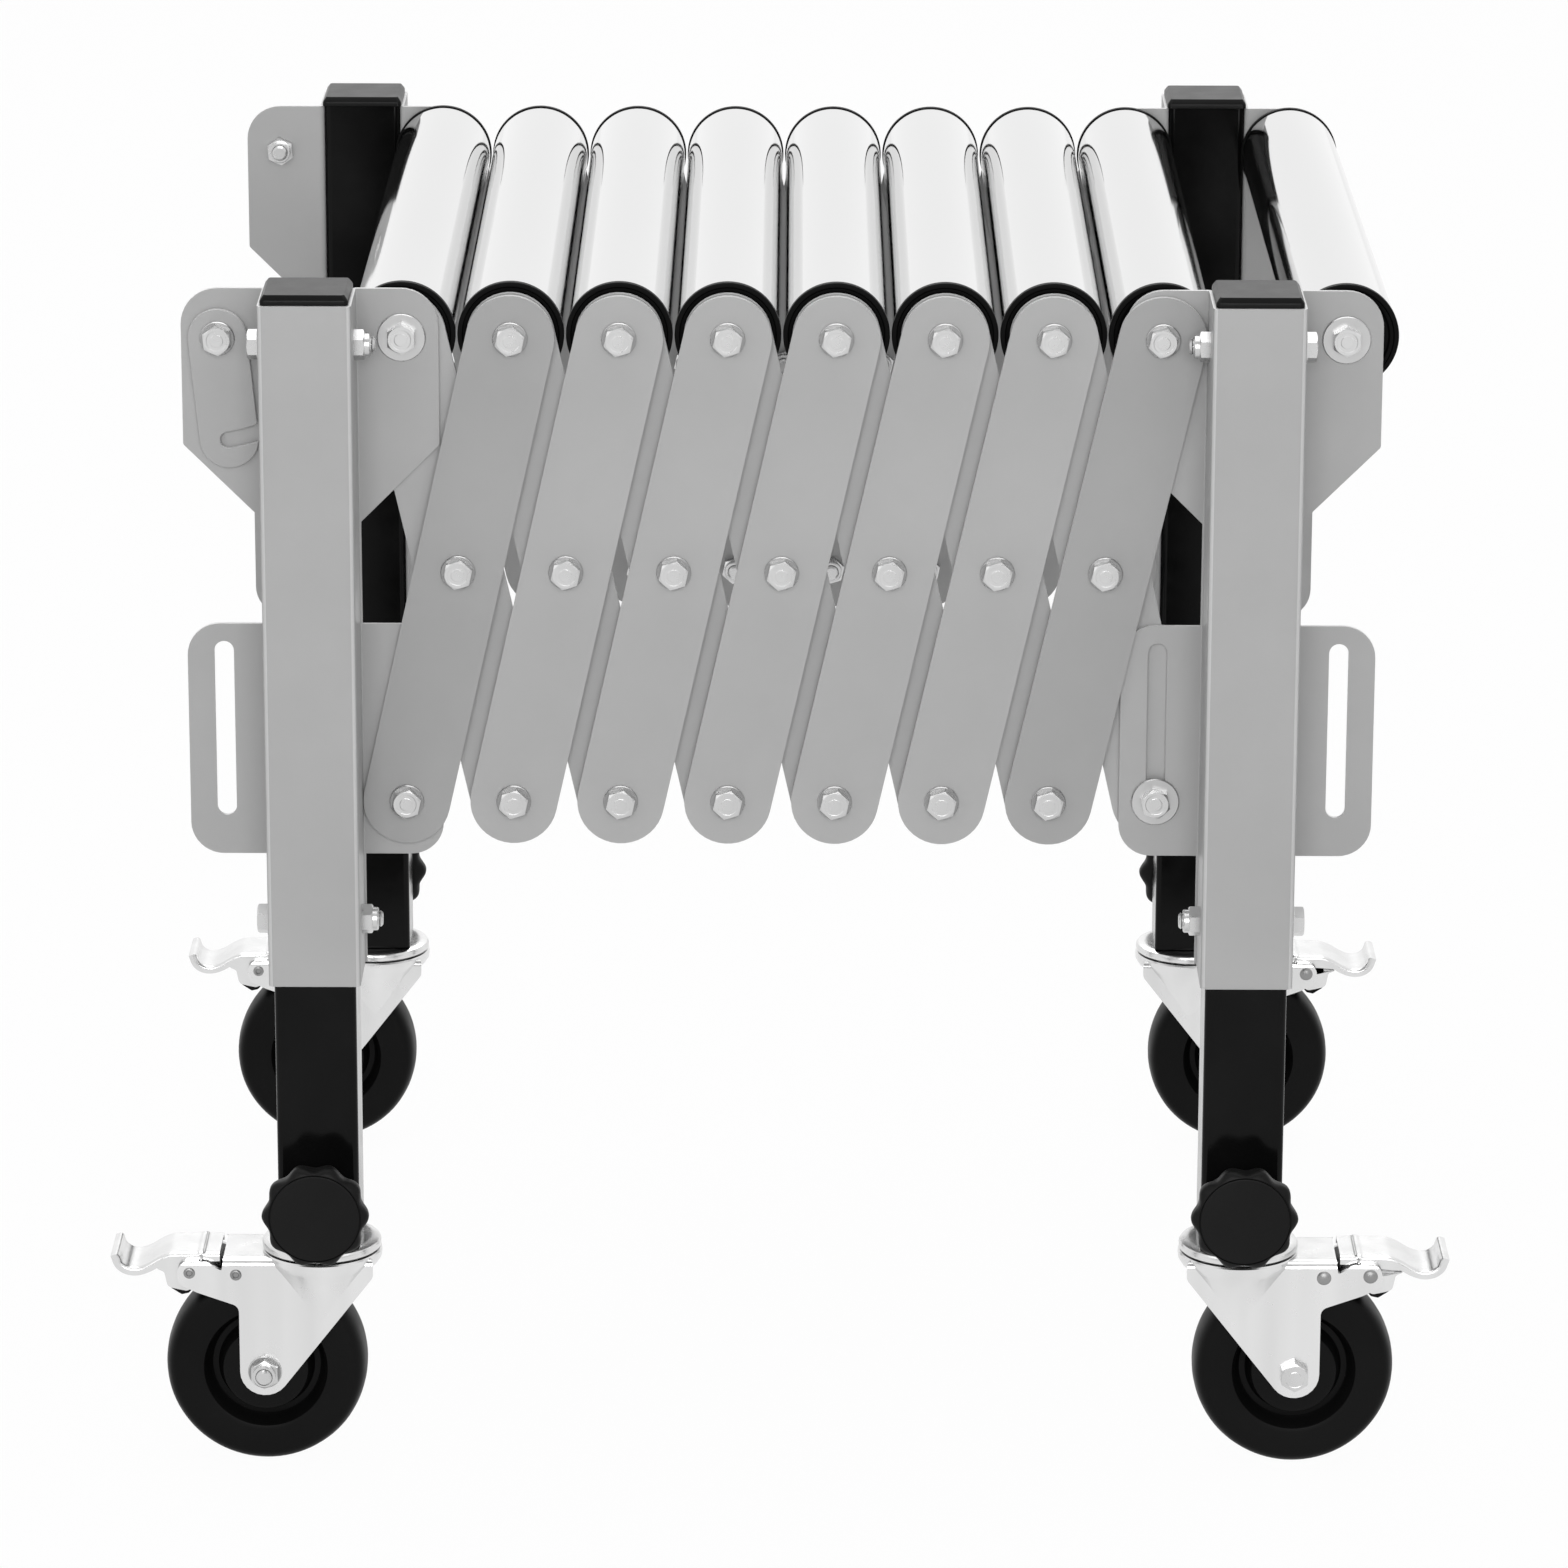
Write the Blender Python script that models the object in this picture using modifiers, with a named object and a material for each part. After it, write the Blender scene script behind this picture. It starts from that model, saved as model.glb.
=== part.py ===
"""Folding roller conveyor on four braked casters.

The conveyor stretches along X. Seven scissor cells on the near side (-Y) and seven on the far side (+Y) join
the left legs to the right legs, and nine chromed rollers lie across them. Z = 0 is the floor, and the origin
lies under the middle of the folded conveyor. Every distance from the middle plane Y = 0 is counted outwards,
so the two sides share the same layers: roller, inner arm, bracket wing, outer arm.
"""
import math

import bmesh
import bpy
from mathutils import Matrix, Vector

# Driving dimensions, in metres
CELLS = 7
PITCH = 0.0524                 # from roller to roller with the conveyor folded
ARM_LENGTH = 0.238             # between the two end pivots of an arm
ARM_WIDTH = 0.0426
ARM_SHEET = 0.003
STRETCH_ANGLE = math.radians(47.7)   # lean of the arms when fully stretched
ROLLER_LENGTH = 0.434
ROLLER_RADIUS = 0.025
TUBE_SIDE = 0.040              # square leg tube
TUBE_LENGTH = 0.476
WHEEL_RADIUS = 0.050
WHEEL_WIDTH = 0.032
EXTENSION = 0.110              # travel of each telescopic leg
INSERTION = 0.039              # telescopic leg left in the tube at full travel

# Clearances
RUNNING_GAP = 0.0005           # between faces that slide on each other
SEAT_GAP = 0.0003              # between faces that rest on each other
PIN_CLEARANCE = 0.0004         # radial, pin in hole
ROLLER_END_GAP = 0.0010
OVERRUN = 0.010                # how far a cut runs past the material

# Fasteners
PIN_RADIUS = 0.004
HEAD_FLATS = 0.013
HEAD_HEIGHT = 0.0053
NUT_HEIGHT = 0.0065
THREAD_END = 0.0025            # thread standing out of a nut
WASHER_RADIUS = 0.012
WASHER_SHEET = 0.0016

# Leg bracket: a hat section folded from sheet round the leg tube
BRACKET_SHEET = 0.0022
BRACKET_FIT = 0.0003
BRACKET_TAIL = 0.0559          # channel below the lower wings
BRACKET_BEND = 0.0030
WING_REACH = 0.062             # from the leg's axis to a wing's edge
WING_STEM = 0.0010             # flange left beside the channel between the wings
HOLE_OFFSET = 0.0442           # from the leg's axis to the pivots and slots
PIVOT_DROP = 0.024             # pivots below the top of the leg
UPPER_WING_SIDE = 0.0773        # straight height of an upper wing's edge
UPPER_WING_CORNER = 0.018
LOWER_WING_CORNER = 0.016
LOWER_WING_MARGIN = 0.0171      # wing above the centre of the slot's top end
LOWER_WING_TAIL = 0.0279       # wing below the lower pivot
SLOT_WIDTH = 0.0095
SLOT_SPARE = 0.0035            # slot beyond the bolt at each end of its travel
UPPER_BOLT_DROP = 0.0235       # cross bolt below the top of the leg
LOWER_BOLT_RISE = 0.028        # cross bolt above the bracket's lower end

# Leg tube, telescopic leg and cap
TUBE_WALL = 0.002
TUBE_CORNER = 0.003
CAP_SIDE = 0.0423
CAP_HEIGHT = 0.0047
CAP_CHAMFER = 0.0020
SLIDE_SIDE = 0.035
SLIDE_WALL = 0.002
SLIDE_FLOOR = 0.004

# Rollers
RING_RADIUS = 0.0258
RING_WIDTH = 0.008
ROLLER_WALL = 0.0015
ROLLER_END_THICKNESS = 0.010

# Clamp knob
KNOB_RISE = 0.0260             # of its axis above the caster's race
KNOB_RADIUS = 0.0249
KNOB_LOBE = 0.0016
KNOB_LOBES = 10
KNOB_THICKNESS = 0.0118
KNOB_FACE_RADIUS = 0.0222
KNOB_FACE_RISE = 0.0015
KNOB_BOSS_RADIUS = 0.0140
KNOB_BOSS_HEIGHT = 0.0165      # keeps the knob's lobes clear of the caster's race

# Caster, side view measured from its swivel axis and the floor
TRAIL = 0.028
WHEEL_TOP_GAP = 0.003
CROWN_RADIUS = 0.030
CROWN_HEIGHT = 0.007
CROWN_EDGE = 0.002
CROWN_SKIRT = 0.0035           # sheet of the fork under the crown
RACE_RADIUS = 0.0295
RACE_HEIGHT = 0.005
KINGPIN_RADIUS = 0.006
KINGPIN_HEAD_RADIUS = 0.0095
KINGPIN_HEAD_HEIGHT = 0.0035
CHEEK_SHEET = 0.0025
CHEEK_CLEARANCE = 0.0015       # wheel's side to cheek
CHEEK_FRONT = 0.026            # cheek ahead of the swivel axis
CHEEK_FRONT_DROP = 0.007
CHEEK_ROUND = 0.01235          # round the axle
CHEEK_INNER_HEIGHT = 0.0345    # bend of the arm above the axle
CHEEK_INNER_ROUND = 0.004
ARM_TIP_LOW = (-0.0346, 0.0415)    # lowest corner of the brake arm from the axle
PEDAL_PIVOT = (-0.0366, 0.052)     # from the axle
PEDAL_PIVOT_ROUND = 0.006
BRIDGE_END = -0.0207               # from the axle
BRIDGE_DROP = 0.0025
RIVET_RADIUS = 0.0021
RIVET_HEAD_RADIUS = 0.0038
RIVET_HEAD_HEIGHT = 0.0012
HUB_OVERHANG = 0.0010
AXLE_RADIUS = 0.004
WHEEL_HUB_RADIUS = 0.0205
WHEEL_GROOVE_INNER = 0.0225
WHEEL_GROOVE_OUTER = 0.0288
WHEEL_GROOVE_DEPTH = 0.0030
WHEEL_FACE_INNER = 0.0305
WHEEL_SHOULDER_RADIUS = 0.0460
WHEEL_CROWN_HALF = 0.0075
WHEEL_SHOULDER_INSET = 0.0008

# Brake pedal, side view measured from its pivot
PEDAL_WIDTH = 0.036
PEDAL_SHEET = 0.0022
PEDAL_LINE = (
    (0.0150, 0.0078), (-0.0040, 0.0078), (-0.0130, 0.0066), (-0.0190, 0.0008), (-0.0245, -0.0013),
    (-0.0310, 0.0004), (-0.0364, 0.0038), (-0.0385, 0.0082),
)
EAR_SHEET = 0.0020
EAR_GAP = 0.0006               # ear to cheek
EAR_CORNERS = (
    (0.0090, 0.0078, 0.0), (0.0090, -0.0045, 0.004), (-0.0015, -0.0115, 0.003), (-0.0115, -0.0090, 0.003),
    (-0.0130, 0.0066, 0.0),
)

# Coupling hook plate on the left legs
HOOK_LENGTH = 0.050            # between the centres of its round ends
HOOK_WIDTH = 0.0285
HOOK_TILT = math.radians(5.5)
NOTCH_WIDTH = 0.0085
NOTCH_LINE = ((0.0256, -0.0462), (0.0140, -0.0484), (0.0070, -0.0497), (-0.0004, -0.0505))

# Facets
ROUND_STEPS = 16
WHEEL_STEPS = 20
END_STEPS = 6
HOLE_STEPS = 8
PIN_STEPS = 8
CORNER_STEPS = 3
MERGE = 1e-6

# Places worked out from the sizes above
FOLD_ANGLE = math.asin(PITCH / ARM_LENGTH)
CELL_HEIGHT = ARM_LENGTH * math.cos(FOLD_ANGLE)
SLOT_TRAVEL = CELL_HEIGHT - ARM_LENGTH * math.cos(STRETCH_ANGLE)
INNER_ARM_FACE = ROLLER_LENGTH / 2 + ROLLER_END_GAP
WING_FACE = INNER_ARM_FACE + ARM_SHEET + RUNNING_GAP
OUTER_ARM_FACE = WING_FACE + BRACKET_SHEET + RUNNING_GAP
OUTER_ARM_OUTSIDE = OUTER_ARM_FACE + ARM_SHEET
LEG_MIDDLE = WING_FACE + TUBE_SIDE / 2
LEG_OUTSIDE = WING_FACE + TUBE_SIDE
CHANNEL_HALF = TUBE_SIDE / 2 + BRACKET_FIT + BRACKET_SHEET
CHANNEL_OUTSIDE = LEG_OUTSIDE + BRACKET_FIT + BRACKET_SHEET
LEG_X = CELLS * PITCH / 2 + HOLE_OFFSET
CROWN_BOTTOM = 2 * WHEEL_RADIUS + WHEEL_TOP_GAP
CROWN_TOP = CROWN_BOTTOM + CROWN_HEIGHT
RACE_BOTTOM = CROWN_TOP + RUNNING_GAP
RACE_TOP = RACE_BOTTOM + RACE_HEIGHT
KNOB_Z = RACE_TOP + KNOB_RISE
TUBE_BOTTOM = RACE_TOP + RUNNING_GAP
TUBE_TOP = TUBE_BOTTOM + TUBE_LENGTH
PIVOT_Z = TUBE_TOP - PIVOT_DROP
LOWER_PIVOT_Z = PIVOT_Z - CELL_HEIGHT
BRACKET_BOTTOM = LOWER_PIVOT_Z - LOWER_WING_TAIL - BRACKET_TAIL
CROSS_BOLT_HEIGHTS = (TUBE_TOP - UPPER_BOLT_DROP, BRACKET_BOTTOM + LOWER_BOLT_RISE)
CHEEK_FACE = WHEEL_WIDTH / 2 + CHEEK_CLEARANCE
SIDES = {"near": -1, "far": 1}
ENDS = {"left": -1, "right": 1}

# Colours: base colour, metallic, roughness
MATERIALS = {
    "bracket_paint": ((0.42, 0.42, 0.42), 0.35, 0.42),
    "arm_paint": ((0.38, 0.38, 0.38), 0.35, 0.42),
    "leg_black": ((0.012, 0.012, 0.012), 0.0, 0.25),
    "roller_chrome": ((0.80, 0.80, 0.80), 1.0, 0.06),
    "zinc": ((0.70, 0.70, 0.69), 1.0, 0.28),
    "wheel_black": ((0.018, 0.018, 0.018), 0.0, 0.48),
    "knob_black": ((0.014, 0.014, 0.014), 0.0, 0.45),
}


def clear_scene():
    for existing in list(bpy.data.objects):
        bpy.data.objects.remove(existing)


def make_material(name):
    colour, metallic, roughness = MATERIALS[name]
    material = bpy.data.materials.new(name)
    material.use_nodes = True
    shader = material.node_tree.nodes["Principled BSDF"]
    shader.inputs["Base Color"].default_value = (*colour, 1)
    shader.inputs["Metallic"].default_value = metallic
    shader.inputs["Roughness"].default_value = roughness
    return material


def add_part(name, mesh, slot, location=(0, 0, 0), rotation=(0, 0, 0)):
    """One named sub-part. Its origin is where it turns."""
    part = bpy.data.objects.new(name, mesh)
    part.location = location
    part.rotation_euler = rotation
    if not mesh.materials:
        mesh.materials.append(bpy.data.materials[slot])
    mesh.shade_smooth()
    mesh.set_sharp_from_angle(angle=math.radians(35))
    bpy.data.collections["folding_roller_conveyor"].objects.link(part)
    return part


def held(mesh_or_curve):
    """A short-lived object round some data, so that modifiers and curves can be read as meshes."""
    holder = bpy.data.objects.new("holder", mesh_or_curve)
    bpy.context.scene.collection.objects.link(holder)
    return holder


def settled(holder):
    """The holder's evaluated mesh with doubled points merged. The holder goes."""
    depsgraph = bpy.context.evaluated_depsgraph_get()
    mesh = bpy.data.meshes.new_from_object(holder.evaluated_get(depsgraph))
    bpy.data.objects.remove(holder)
    tidy = bmesh.new()
    tidy.from_mesh(mesh)
    bmesh.ops.remove_doubles(tidy, verts=tidy.verts, dist=MERGE)
    bmesh.ops.recalc_face_normals(tidy, faces=tidy.faces)
    tidy.to_mesh(mesh)
    tidy.free()
    return mesh


def filled(loops, thickness):
    """A flat plate from closed outlines in the XY plane; outlines inside the first are holes."""
    curve = bpy.data.curves.new("outline", "CURVE")
    curve.dimensions = "2D"
    curve.fill_mode = "BOTH"
    curve.extrude = thickness / 2
    for loop in loops:
        spline = curve.splines.new("POLY")
        spline.points.add(len(loop) - 1)
        for point, (x, y) in zip(spline.points, loop):
            point.co = (x, y, 0, 1)
        spline.use_cyclic_u = True
    return settled(held(curve))


def plate(loops, inside, outside):
    """A plate whose outlines lie in XZ, between two distances from the middle plane on the near side."""
    mesh = filled(loops, outside - inside)
    mesh.transform(Matrix.Translation((0, -(inside + outside) / 2, 0)) @ Matrix.Rotation(math.pi / 2, 4, "X"))
    return mesh


def post(loops, low, high):
    """A prism whose outlines lie in XY, between two heights."""
    mesh = filled(loops, high - low)
    mesh.transform(Matrix.Translation((0, 0, (low + high) / 2)))
    return mesh


def rod(radius, start, end, steps, flats=False):
    """A cylinder between two points. With flats the radius is the one inside the facets."""
    start = Vector(start)
    end = Vector(end)
    reach = radius / math.cos(math.pi / steps) if flats else radius
    shape = bmesh.new()
    bmesh.ops.create_cone(
        shape, cap_ends=True, segments=steps, radius1=reach, radius2=reach, depth=(end - start).length
    )
    turn = (end - start).to_track_quat("Z", "Y").to_matrix().to_4x4()
    bmesh.ops.transform(shape, matrix=Matrix.Translation((start + end) / 2) @ turn, verts=shape.verts)
    mesh = bpy.data.meshes.new("rod")
    shape.to_mesh(mesh)
    shape.free()
    return mesh


def box(size, centre):
    shape = bmesh.new()
    bmesh.ops.create_cube(shape, size=1)
    bmesh.ops.scale(shape, vec=size, verts=shape.verts)
    bmesh.ops.translate(shape, vec=centre, verts=shape.verts)
    mesh = bpy.data.meshes.new("box")
    shape.to_mesh(mesh)
    shape.free()
    return mesh


def turned(profile, steps):
    """A ring turned about Z from (radius, height) points running down its outer side."""
    mesh = bpy.data.meshes.new("profile")
    edges = [(index, (index + 1) % len(profile)) for index in range(len(profile))]
    mesh.from_pydata([(radius, 0, height) for radius, height in profile], edges, [])
    holder = held(mesh)
    screw = holder.modifiers.new("turn", "SCREW")
    screw.steps = steps
    screw.render_steps = steps
    screw.use_merge_vertices = True
    screw.merge_threshold = MERGE
    return settled(holder)


def along_y(mesh):
    """Lays a shape that was turned about Z along Y."""
    mesh.transform(Matrix.Rotation(math.pi / 2, 4, "X"))
    return mesh


def mirrored(mesh):
    """The same shape for the far side."""
    mesh.transform(Matrix.Scale(-1, 4, (0, 1, 0)))
    mesh.flip_normals()
    return mesh


def combined(base, tools, operation):
    """The base shape joined with, cut by or kept within each tool in turn."""
    for tool in tools:
        holder = held(base)
        helper = held(tool)
        step = holder.modifiers.new("combine", "BOOLEAN")
        step.operation = operation
        step.solver = "EXACT"
        step.object = helper
        base = settled(holder)
        bpy.data.objects.remove(helper)
    return base


def circle(centre_x, centre_y, radius, steps):
    """A round outline whose flats lie at the given radius, for holes."""
    reach = radius / math.cos(math.pi / steps)
    angles = [2 * math.pi * step / steps for step in range(steps)]
    return [(centre_x + reach * math.cos(angle), centre_y + reach * math.sin(angle)) for angle in angles]


def rounded(corners, steps=CORNER_STEPS):
    """A closed outline through (x, y, fillet radius) corners."""
    loop = []
    for index, (x, y, radius) in enumerate(corners):
        corner = Vector((x, y))
        if radius == 0:
            loop.append((x, y))
            continue
        before = (Vector(corners[index - 1][:2]) - corner).normalized()
        after = (Vector(corners[(index + 1) % len(corners)][:2]) - corner).normalized()
        half = before.angle(after) / 2
        centre = corner + (before + after).normalized() * (radius / math.sin(half))
        first = corner + before * (radius / math.tan(half)) - centre
        last = corner + after * (radius / math.tan(half)) - centre
        start = math.atan2(first.y, first.x)
        turn = math.remainder(math.atan2(last.y, last.x) - start, 2 * math.pi)
        for step in range(steps + 1):
            angle = start + turn * step / steps
            loop.append((centre.x + radius * math.cos(angle), centre.y + radius * math.sin(angle)))
    return loop


def stadium(centre_x, low, high, width, steps=END_STEPS):
    """An upright slot outline; low and high are the centres of its round ends."""
    radius = width / 2
    loop = []
    for centre_y, start in ((high, 0), (low, math.pi)):
        for step in range(steps + 1):
            angle = start + math.pi * step / steps
            loop.append((centre_x + radius * math.cos(angle), centre_y + radius * math.sin(angle)))
    return loop


def ribbon(line, thickness):
    """The outline of a bent sheet seen from its edge, from the points of its middle line."""
    points = [Vector(point) for point in line]
    upper = []
    lower = []
    for index, point in enumerate(points):
        ahead = points[min(index + 1, len(points) - 1)]
        behind = points[max(index - 1, 0)]
        along = (ahead - behind).normalized()
        aside = Vector((-along.y, along.x)) * (thickness / 2)
        upper.append(tuple(point + aside))
        lower.append(tuple(point - aside))
    return upper + lower[::-1]


def hexagon_rod(start, end):
    """A bolt head or nut between two points."""
    return rod(HEAD_FLATS / 2, start, end, 6, flats=True)


def pivot_bolt(x, z, inside, outside, core):
    """A bolt through the near side: head outside, nut inside, its shank starting within the plate at core."""
    return [
        rod(PIN_RADIUS, (x, -(inside - NUT_HEIGHT / 2), z), (x, -core, z), PIN_STEPS),
        hexagon_rod((x, -core, z), (x, -(outside + HEAD_HEIGHT), z)),
        hexagon_rod((x, -(inside - NUT_HEIGHT), z), (x, -(inside - SEAT_GAP), z)),
    ]


def axle(x, z):
    """The bolt through a roller held by the wings: head and washer on the near one, nut on the far one."""
    wing_outside = WING_FACE + BRACKET_SHEET
    washer_outside = wing_outside + WASHER_SHEET
    nut_face = wing_outside + SEAT_GAP
    start = wing_outside + WASHER_SHEET / 2
    return [
        rod(WASHER_RADIUS, (x, -(WING_FACE + BRACKET_SHEET / 2), z), (x, -washer_outside, z), ROUND_STEPS),
        rod(PIN_RADIUS, (x, -start, z), (x, nut_face + NUT_HEIGHT + THREAD_END, z), HOLE_STEPS),
        hexagon_rod((x, -start, z), (x, -(washer_outside + HEAD_HEIGHT), z)),
        hexagon_rod((x, nut_face, z), (x, nut_face + NUT_HEIGHT, z)),
    ]


def arm_outline(top, bottom):
    return stadium(0, bottom, top, ARM_WIDTH)


def arm_hole(height):
    return circle(0, height, PIN_RADIUS + PIN_CLEARANCE, HOLE_STEPS)


def make_outer_arms():
    """Each pair of outer arms is clamped to its roller's axle, so the pair and its bolts are one piece."""
    half = ARM_LENGTH / 2
    middle = (OUTER_ARM_FACE + OUTER_ARM_OUTSIDE) / 2
    near_arm = plate([arm_outline(half, -half)], OUTER_ARM_FACE, OUTER_ARM_OUTSIDE)
    near_bolts = []
    for height in (0, -half):
        near_bolts += pivot_bolt(0, height, INNER_ARM_FACE, OUTER_ARM_OUTSIDE, middle)
    near_side = combined(near_arm, near_bolts, "UNION")
    far_side = mirrored(near_side.copy())
    axle_pieces = [
        rod(PIN_RADIUS, (0, -middle, half), (0, middle, half), HOLE_STEPS),
        hexagon_rod((0, -middle, half), (0, -(OUTER_ARM_OUTSIDE + HEAD_HEIGHT), half)),
        hexagon_rod((0, middle, half), (0, OUTER_ARM_OUTSIDE + NUT_HEIGHT, half)),
    ]
    pair = combined(near_side, axle_pieces + [far_side], "UNION")
    for cell in range(1, CELLS + 1):
        place = (roller_x(cell) - PITCH / 2, 0, PIVOT_Z - CELL_HEIGHT / 2)
        add_part(f"outer_arms_{cell}", pair, "arm_paint", place, (0, FOLD_ANGLE, 0))


def make_inner_arms():
    """Inner arms hang from the roller axles. The last pair carries the bolts that run in the right slots."""
    outline = arm_outline(0, -ARM_LENGTH)
    holes = [arm_hole(0), arm_hole(-ARM_LENGTH / 2), arm_hole(-ARM_LENGTH)]
    outside = INNER_ARM_FACE + ARM_SHEET
    middle = (INNER_ARM_FACE + outside) / 2
    plain = plate([outline] + holes, INNER_ARM_FACE, outside)
    slot_face = WING_FACE + BRACKET_SHEET + SEAT_GAP
    slot_bolt = [
        rod(PIN_RADIUS, (0, -middle, -ARM_LENGTH), (0, -(slot_face + WASHER_SHEET), -ARM_LENGTH), PIN_STEPS),
        rod(
            WASHER_RADIUS,
            (0, -slot_face, -ARM_LENGTH),
            (0, -(slot_face + WASHER_SHEET), -ARM_LENGTH),
            ROUND_STEPS,
        ),
        hexagon_rod(
            (0, -(slot_face + WASHER_SHEET / 2), -ARM_LENGTH),
            (0, -(slot_face + WASHER_SHEET + HEAD_HEIGHT), -ARM_LENGTH),
        ),
        hexagon_rod((0, -middle, -ARM_LENGTH), (0, -(INNER_ARM_FACE - NUT_HEIGHT), -ARM_LENGTH)),
    ]
    last = combined(plate([outline] + holes[:2], INNER_ARM_FACE, outside), slot_bolt, "UNION")
    for side, sign in SIDES.items():
        plain_side = plain.copy() if sign < 0 else mirrored(plain.copy())
        last_side = last.copy() if sign < 0 else mirrored(last.copy())
        for cell in range(1, CELLS + 1):
            mesh = last_side if cell == CELLS else plain_side
            place = (roller_x(cell - 1), 0, PIVOT_Z)
            add_part(f"inner_arm_{cell}_{side}", mesh, "arm_paint", place, (0, -FOLD_ANGLE, 0))


def roller_x(index):
    """Across the conveyor's length: rollers 0 to 7 on the scissor, and the last on the right legs."""
    if index > CELLS:
        return LEG_X + HOLE_OFFSET
    return index * PITCH - CELLS * PITCH / 2


def make_rollers():
    """Chromed tubes with pressed ends and black rings that stand a little proud."""
    half = ROLLER_LENGTH / 2
    bore = PIN_RADIUS + PIN_CLEARANCE
    inner = ROLLER_RADIUS - ROLLER_WALL
    end = half - ROLLER_END_THICKNESS
    upper = [(bore, end), (bore, half), (RING_RADIUS, half), (RING_RADIUS, half - RING_WIDTH)]
    upper.append((ROLLER_RADIUS, half - RING_WIDTH))
    profile = [(inner, end)] + upper + [(radius, -height) for radius, height in upper[::-1]] + [(inner, -end)]
    mesh = along_y(turned(profile, ROUND_STEPS))
    for index in range(CELLS + 2):
        add_part(f"roller_{index}", mesh, "roller_chrome", (roller_x(index), 0, PIVOT_Z))


def hat_section():
    """Plan outline of the near bracket's sheet, its wings still too wide: the elevation trims them."""
    reach = WING_REACH + OVERRUN
    outer = [
        (-reach, -WING_FACE - BRACKET_SHEET, 0),
        (-CHANNEL_HALF, -WING_FACE - BRACKET_SHEET, 0),
        (-CHANNEL_HALF, -CHANNEL_OUTSIDE, BRACKET_BEND),
        (CHANNEL_HALF, -CHANNEL_OUTSIDE, BRACKET_BEND),
        (CHANNEL_HALF, -WING_FACE - BRACKET_SHEET, 0),
        (reach, -WING_FACE - BRACKET_SHEET, 0),
        (reach, -WING_FACE, 0),
    ]
    inner_half = CHANNEL_HALF - BRACKET_SHEET
    inner_bend = BRACKET_BEND - BRACKET_SHEET
    inner = [
        (inner_half, -WING_FACE, 0),
        (inner_half, BRACKET_SHEET - CHANNEL_OUTSIDE, inner_bend),
        (-inner_half, BRACKET_SHEET - CHANNEL_OUTSIDE, inner_bend),
        (-inner_half, -WING_FACE, 0),
        (-reach, -WING_FACE, 0),
    ]
    return rounded(outer + inner, steps=2)


def bracket_elevation():
    """Front outline of the bracket, right half first, then its mirror image."""
    stem = CHANNEL_HALF + WING_STEM
    side_low = TUBE_TOP - UPPER_WING_SIDE
    lower_top = LOWER_PIVOT_Z + SLOT_TRAVEL + LOWER_WING_MARGIN
    lower_bottom = LOWER_PIVOT_Z - LOWER_WING_TAIL
    right = [
        (WING_REACH, TUBE_TOP, UPPER_WING_CORNER),
        (WING_REACH, side_low, 0),
        (stem, side_low - (WING_REACH - stem), 0),
        (stem, lower_top, 0),
        (WING_REACH, lower_top, LOWER_WING_CORNER),
        (WING_REACH, lower_bottom, LOWER_WING_CORNER),
        (stem, lower_bottom, 0),
        (stem, BRACKET_BOTTOM, 0),
    ]
    left = [(-x, z, radius) for x, z, radius in reversed(right)]
    return rounded(right + left)


def make_bracket(head_sign):
    """The near bracket with its two cross bolts, whose heads lie on the side of head_sign."""
    reach = WING_FACE - OVERRUN
    past = CHANNEL_OUTSIDE + OVERRUN
    sheet = post([hat_section()], BRACKET_BOTTOM - OVERRUN, TUBE_TOP + OVERRUN)
    sheet = combined(sheet, [plate([bracket_elevation()], reach, past)], "INTERSECT")
    cuts = []
    for sign in (-1, 1):
        slot = stadium(
            sign * HOLE_OFFSET, LOWER_PIVOT_Z - SLOT_SPARE, LOWER_PIVOT_Z + SLOT_TRAVEL + SLOT_SPARE, SLOT_WIDTH,
            steps=6,
        )
        cuts.append(plate([slot], reach, WING_FACE + OVERRUN))
        hole = circle(sign * HOLE_OFFSET, PIVOT_Z, PIN_RADIUS + PIN_CLEARANCE, HOLE_STEPS)
        cuts.append(plate([hole], reach, WING_FACE + OVERRUN))
    sheet = combined(sheet, cuts, "DIFFERENCE")
    wall = CHANNEL_HALF - BRACKET_SHEET / 2
    pieces = []
    for z in CROSS_BOLT_HEIGHTS:
        head_end = head_sign * (CHANNEL_HALF + HEAD_HEIGHT)
        nut_end = -head_sign * (CHANNEL_HALF + NUT_HEIGHT)
        thread_end = nut_end - head_sign * THREAD_END
        pieces.append(rod(PIN_RADIUS, (thread_end, -LEG_MIDDLE, z), (head_sign * wall, -LEG_MIDDLE, z), PIN_STEPS))
        pieces.append(hexagon_rod((head_sign * wall, -LEG_MIDDLE, z), (head_end, -LEG_MIDDLE, z)))
        pieces.append(hexagon_rod((-head_sign * wall, -LEG_MIDDLE, z), (nut_end, -LEG_MIDDLE, z)))
    return combined(sheet, pieces, "UNION")


def make_brackets():
    """The near brackets also carry the axles of the first and the last roller."""
    for end, sign in ENDS.items():
        bracket = make_bracket(sign)
        far_bracket = mirrored(bracket.copy())
        near_bracket = combined(bracket, axle(HOLE_OFFSET, PIVOT_Z), "UNION")
        add_part(f"leg_bracket_{end}_near", near_bracket, "bracket_paint", (sign * LEG_X, 0, 0))
        add_part(f"leg_bracket_{end}_far", far_bracket, "bracket_paint", (sign * LEG_X, 0, 0))


def square_loop(side, corner):
    """A square plan outline round the near leg's axis."""
    half = side / 2
    corners = [(half, half), (-half, half), (-half, -half), (half, -half)]
    return rounded([(x, y - LEG_MIDDLE, corner) for x, y in corners], steps=1)


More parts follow.
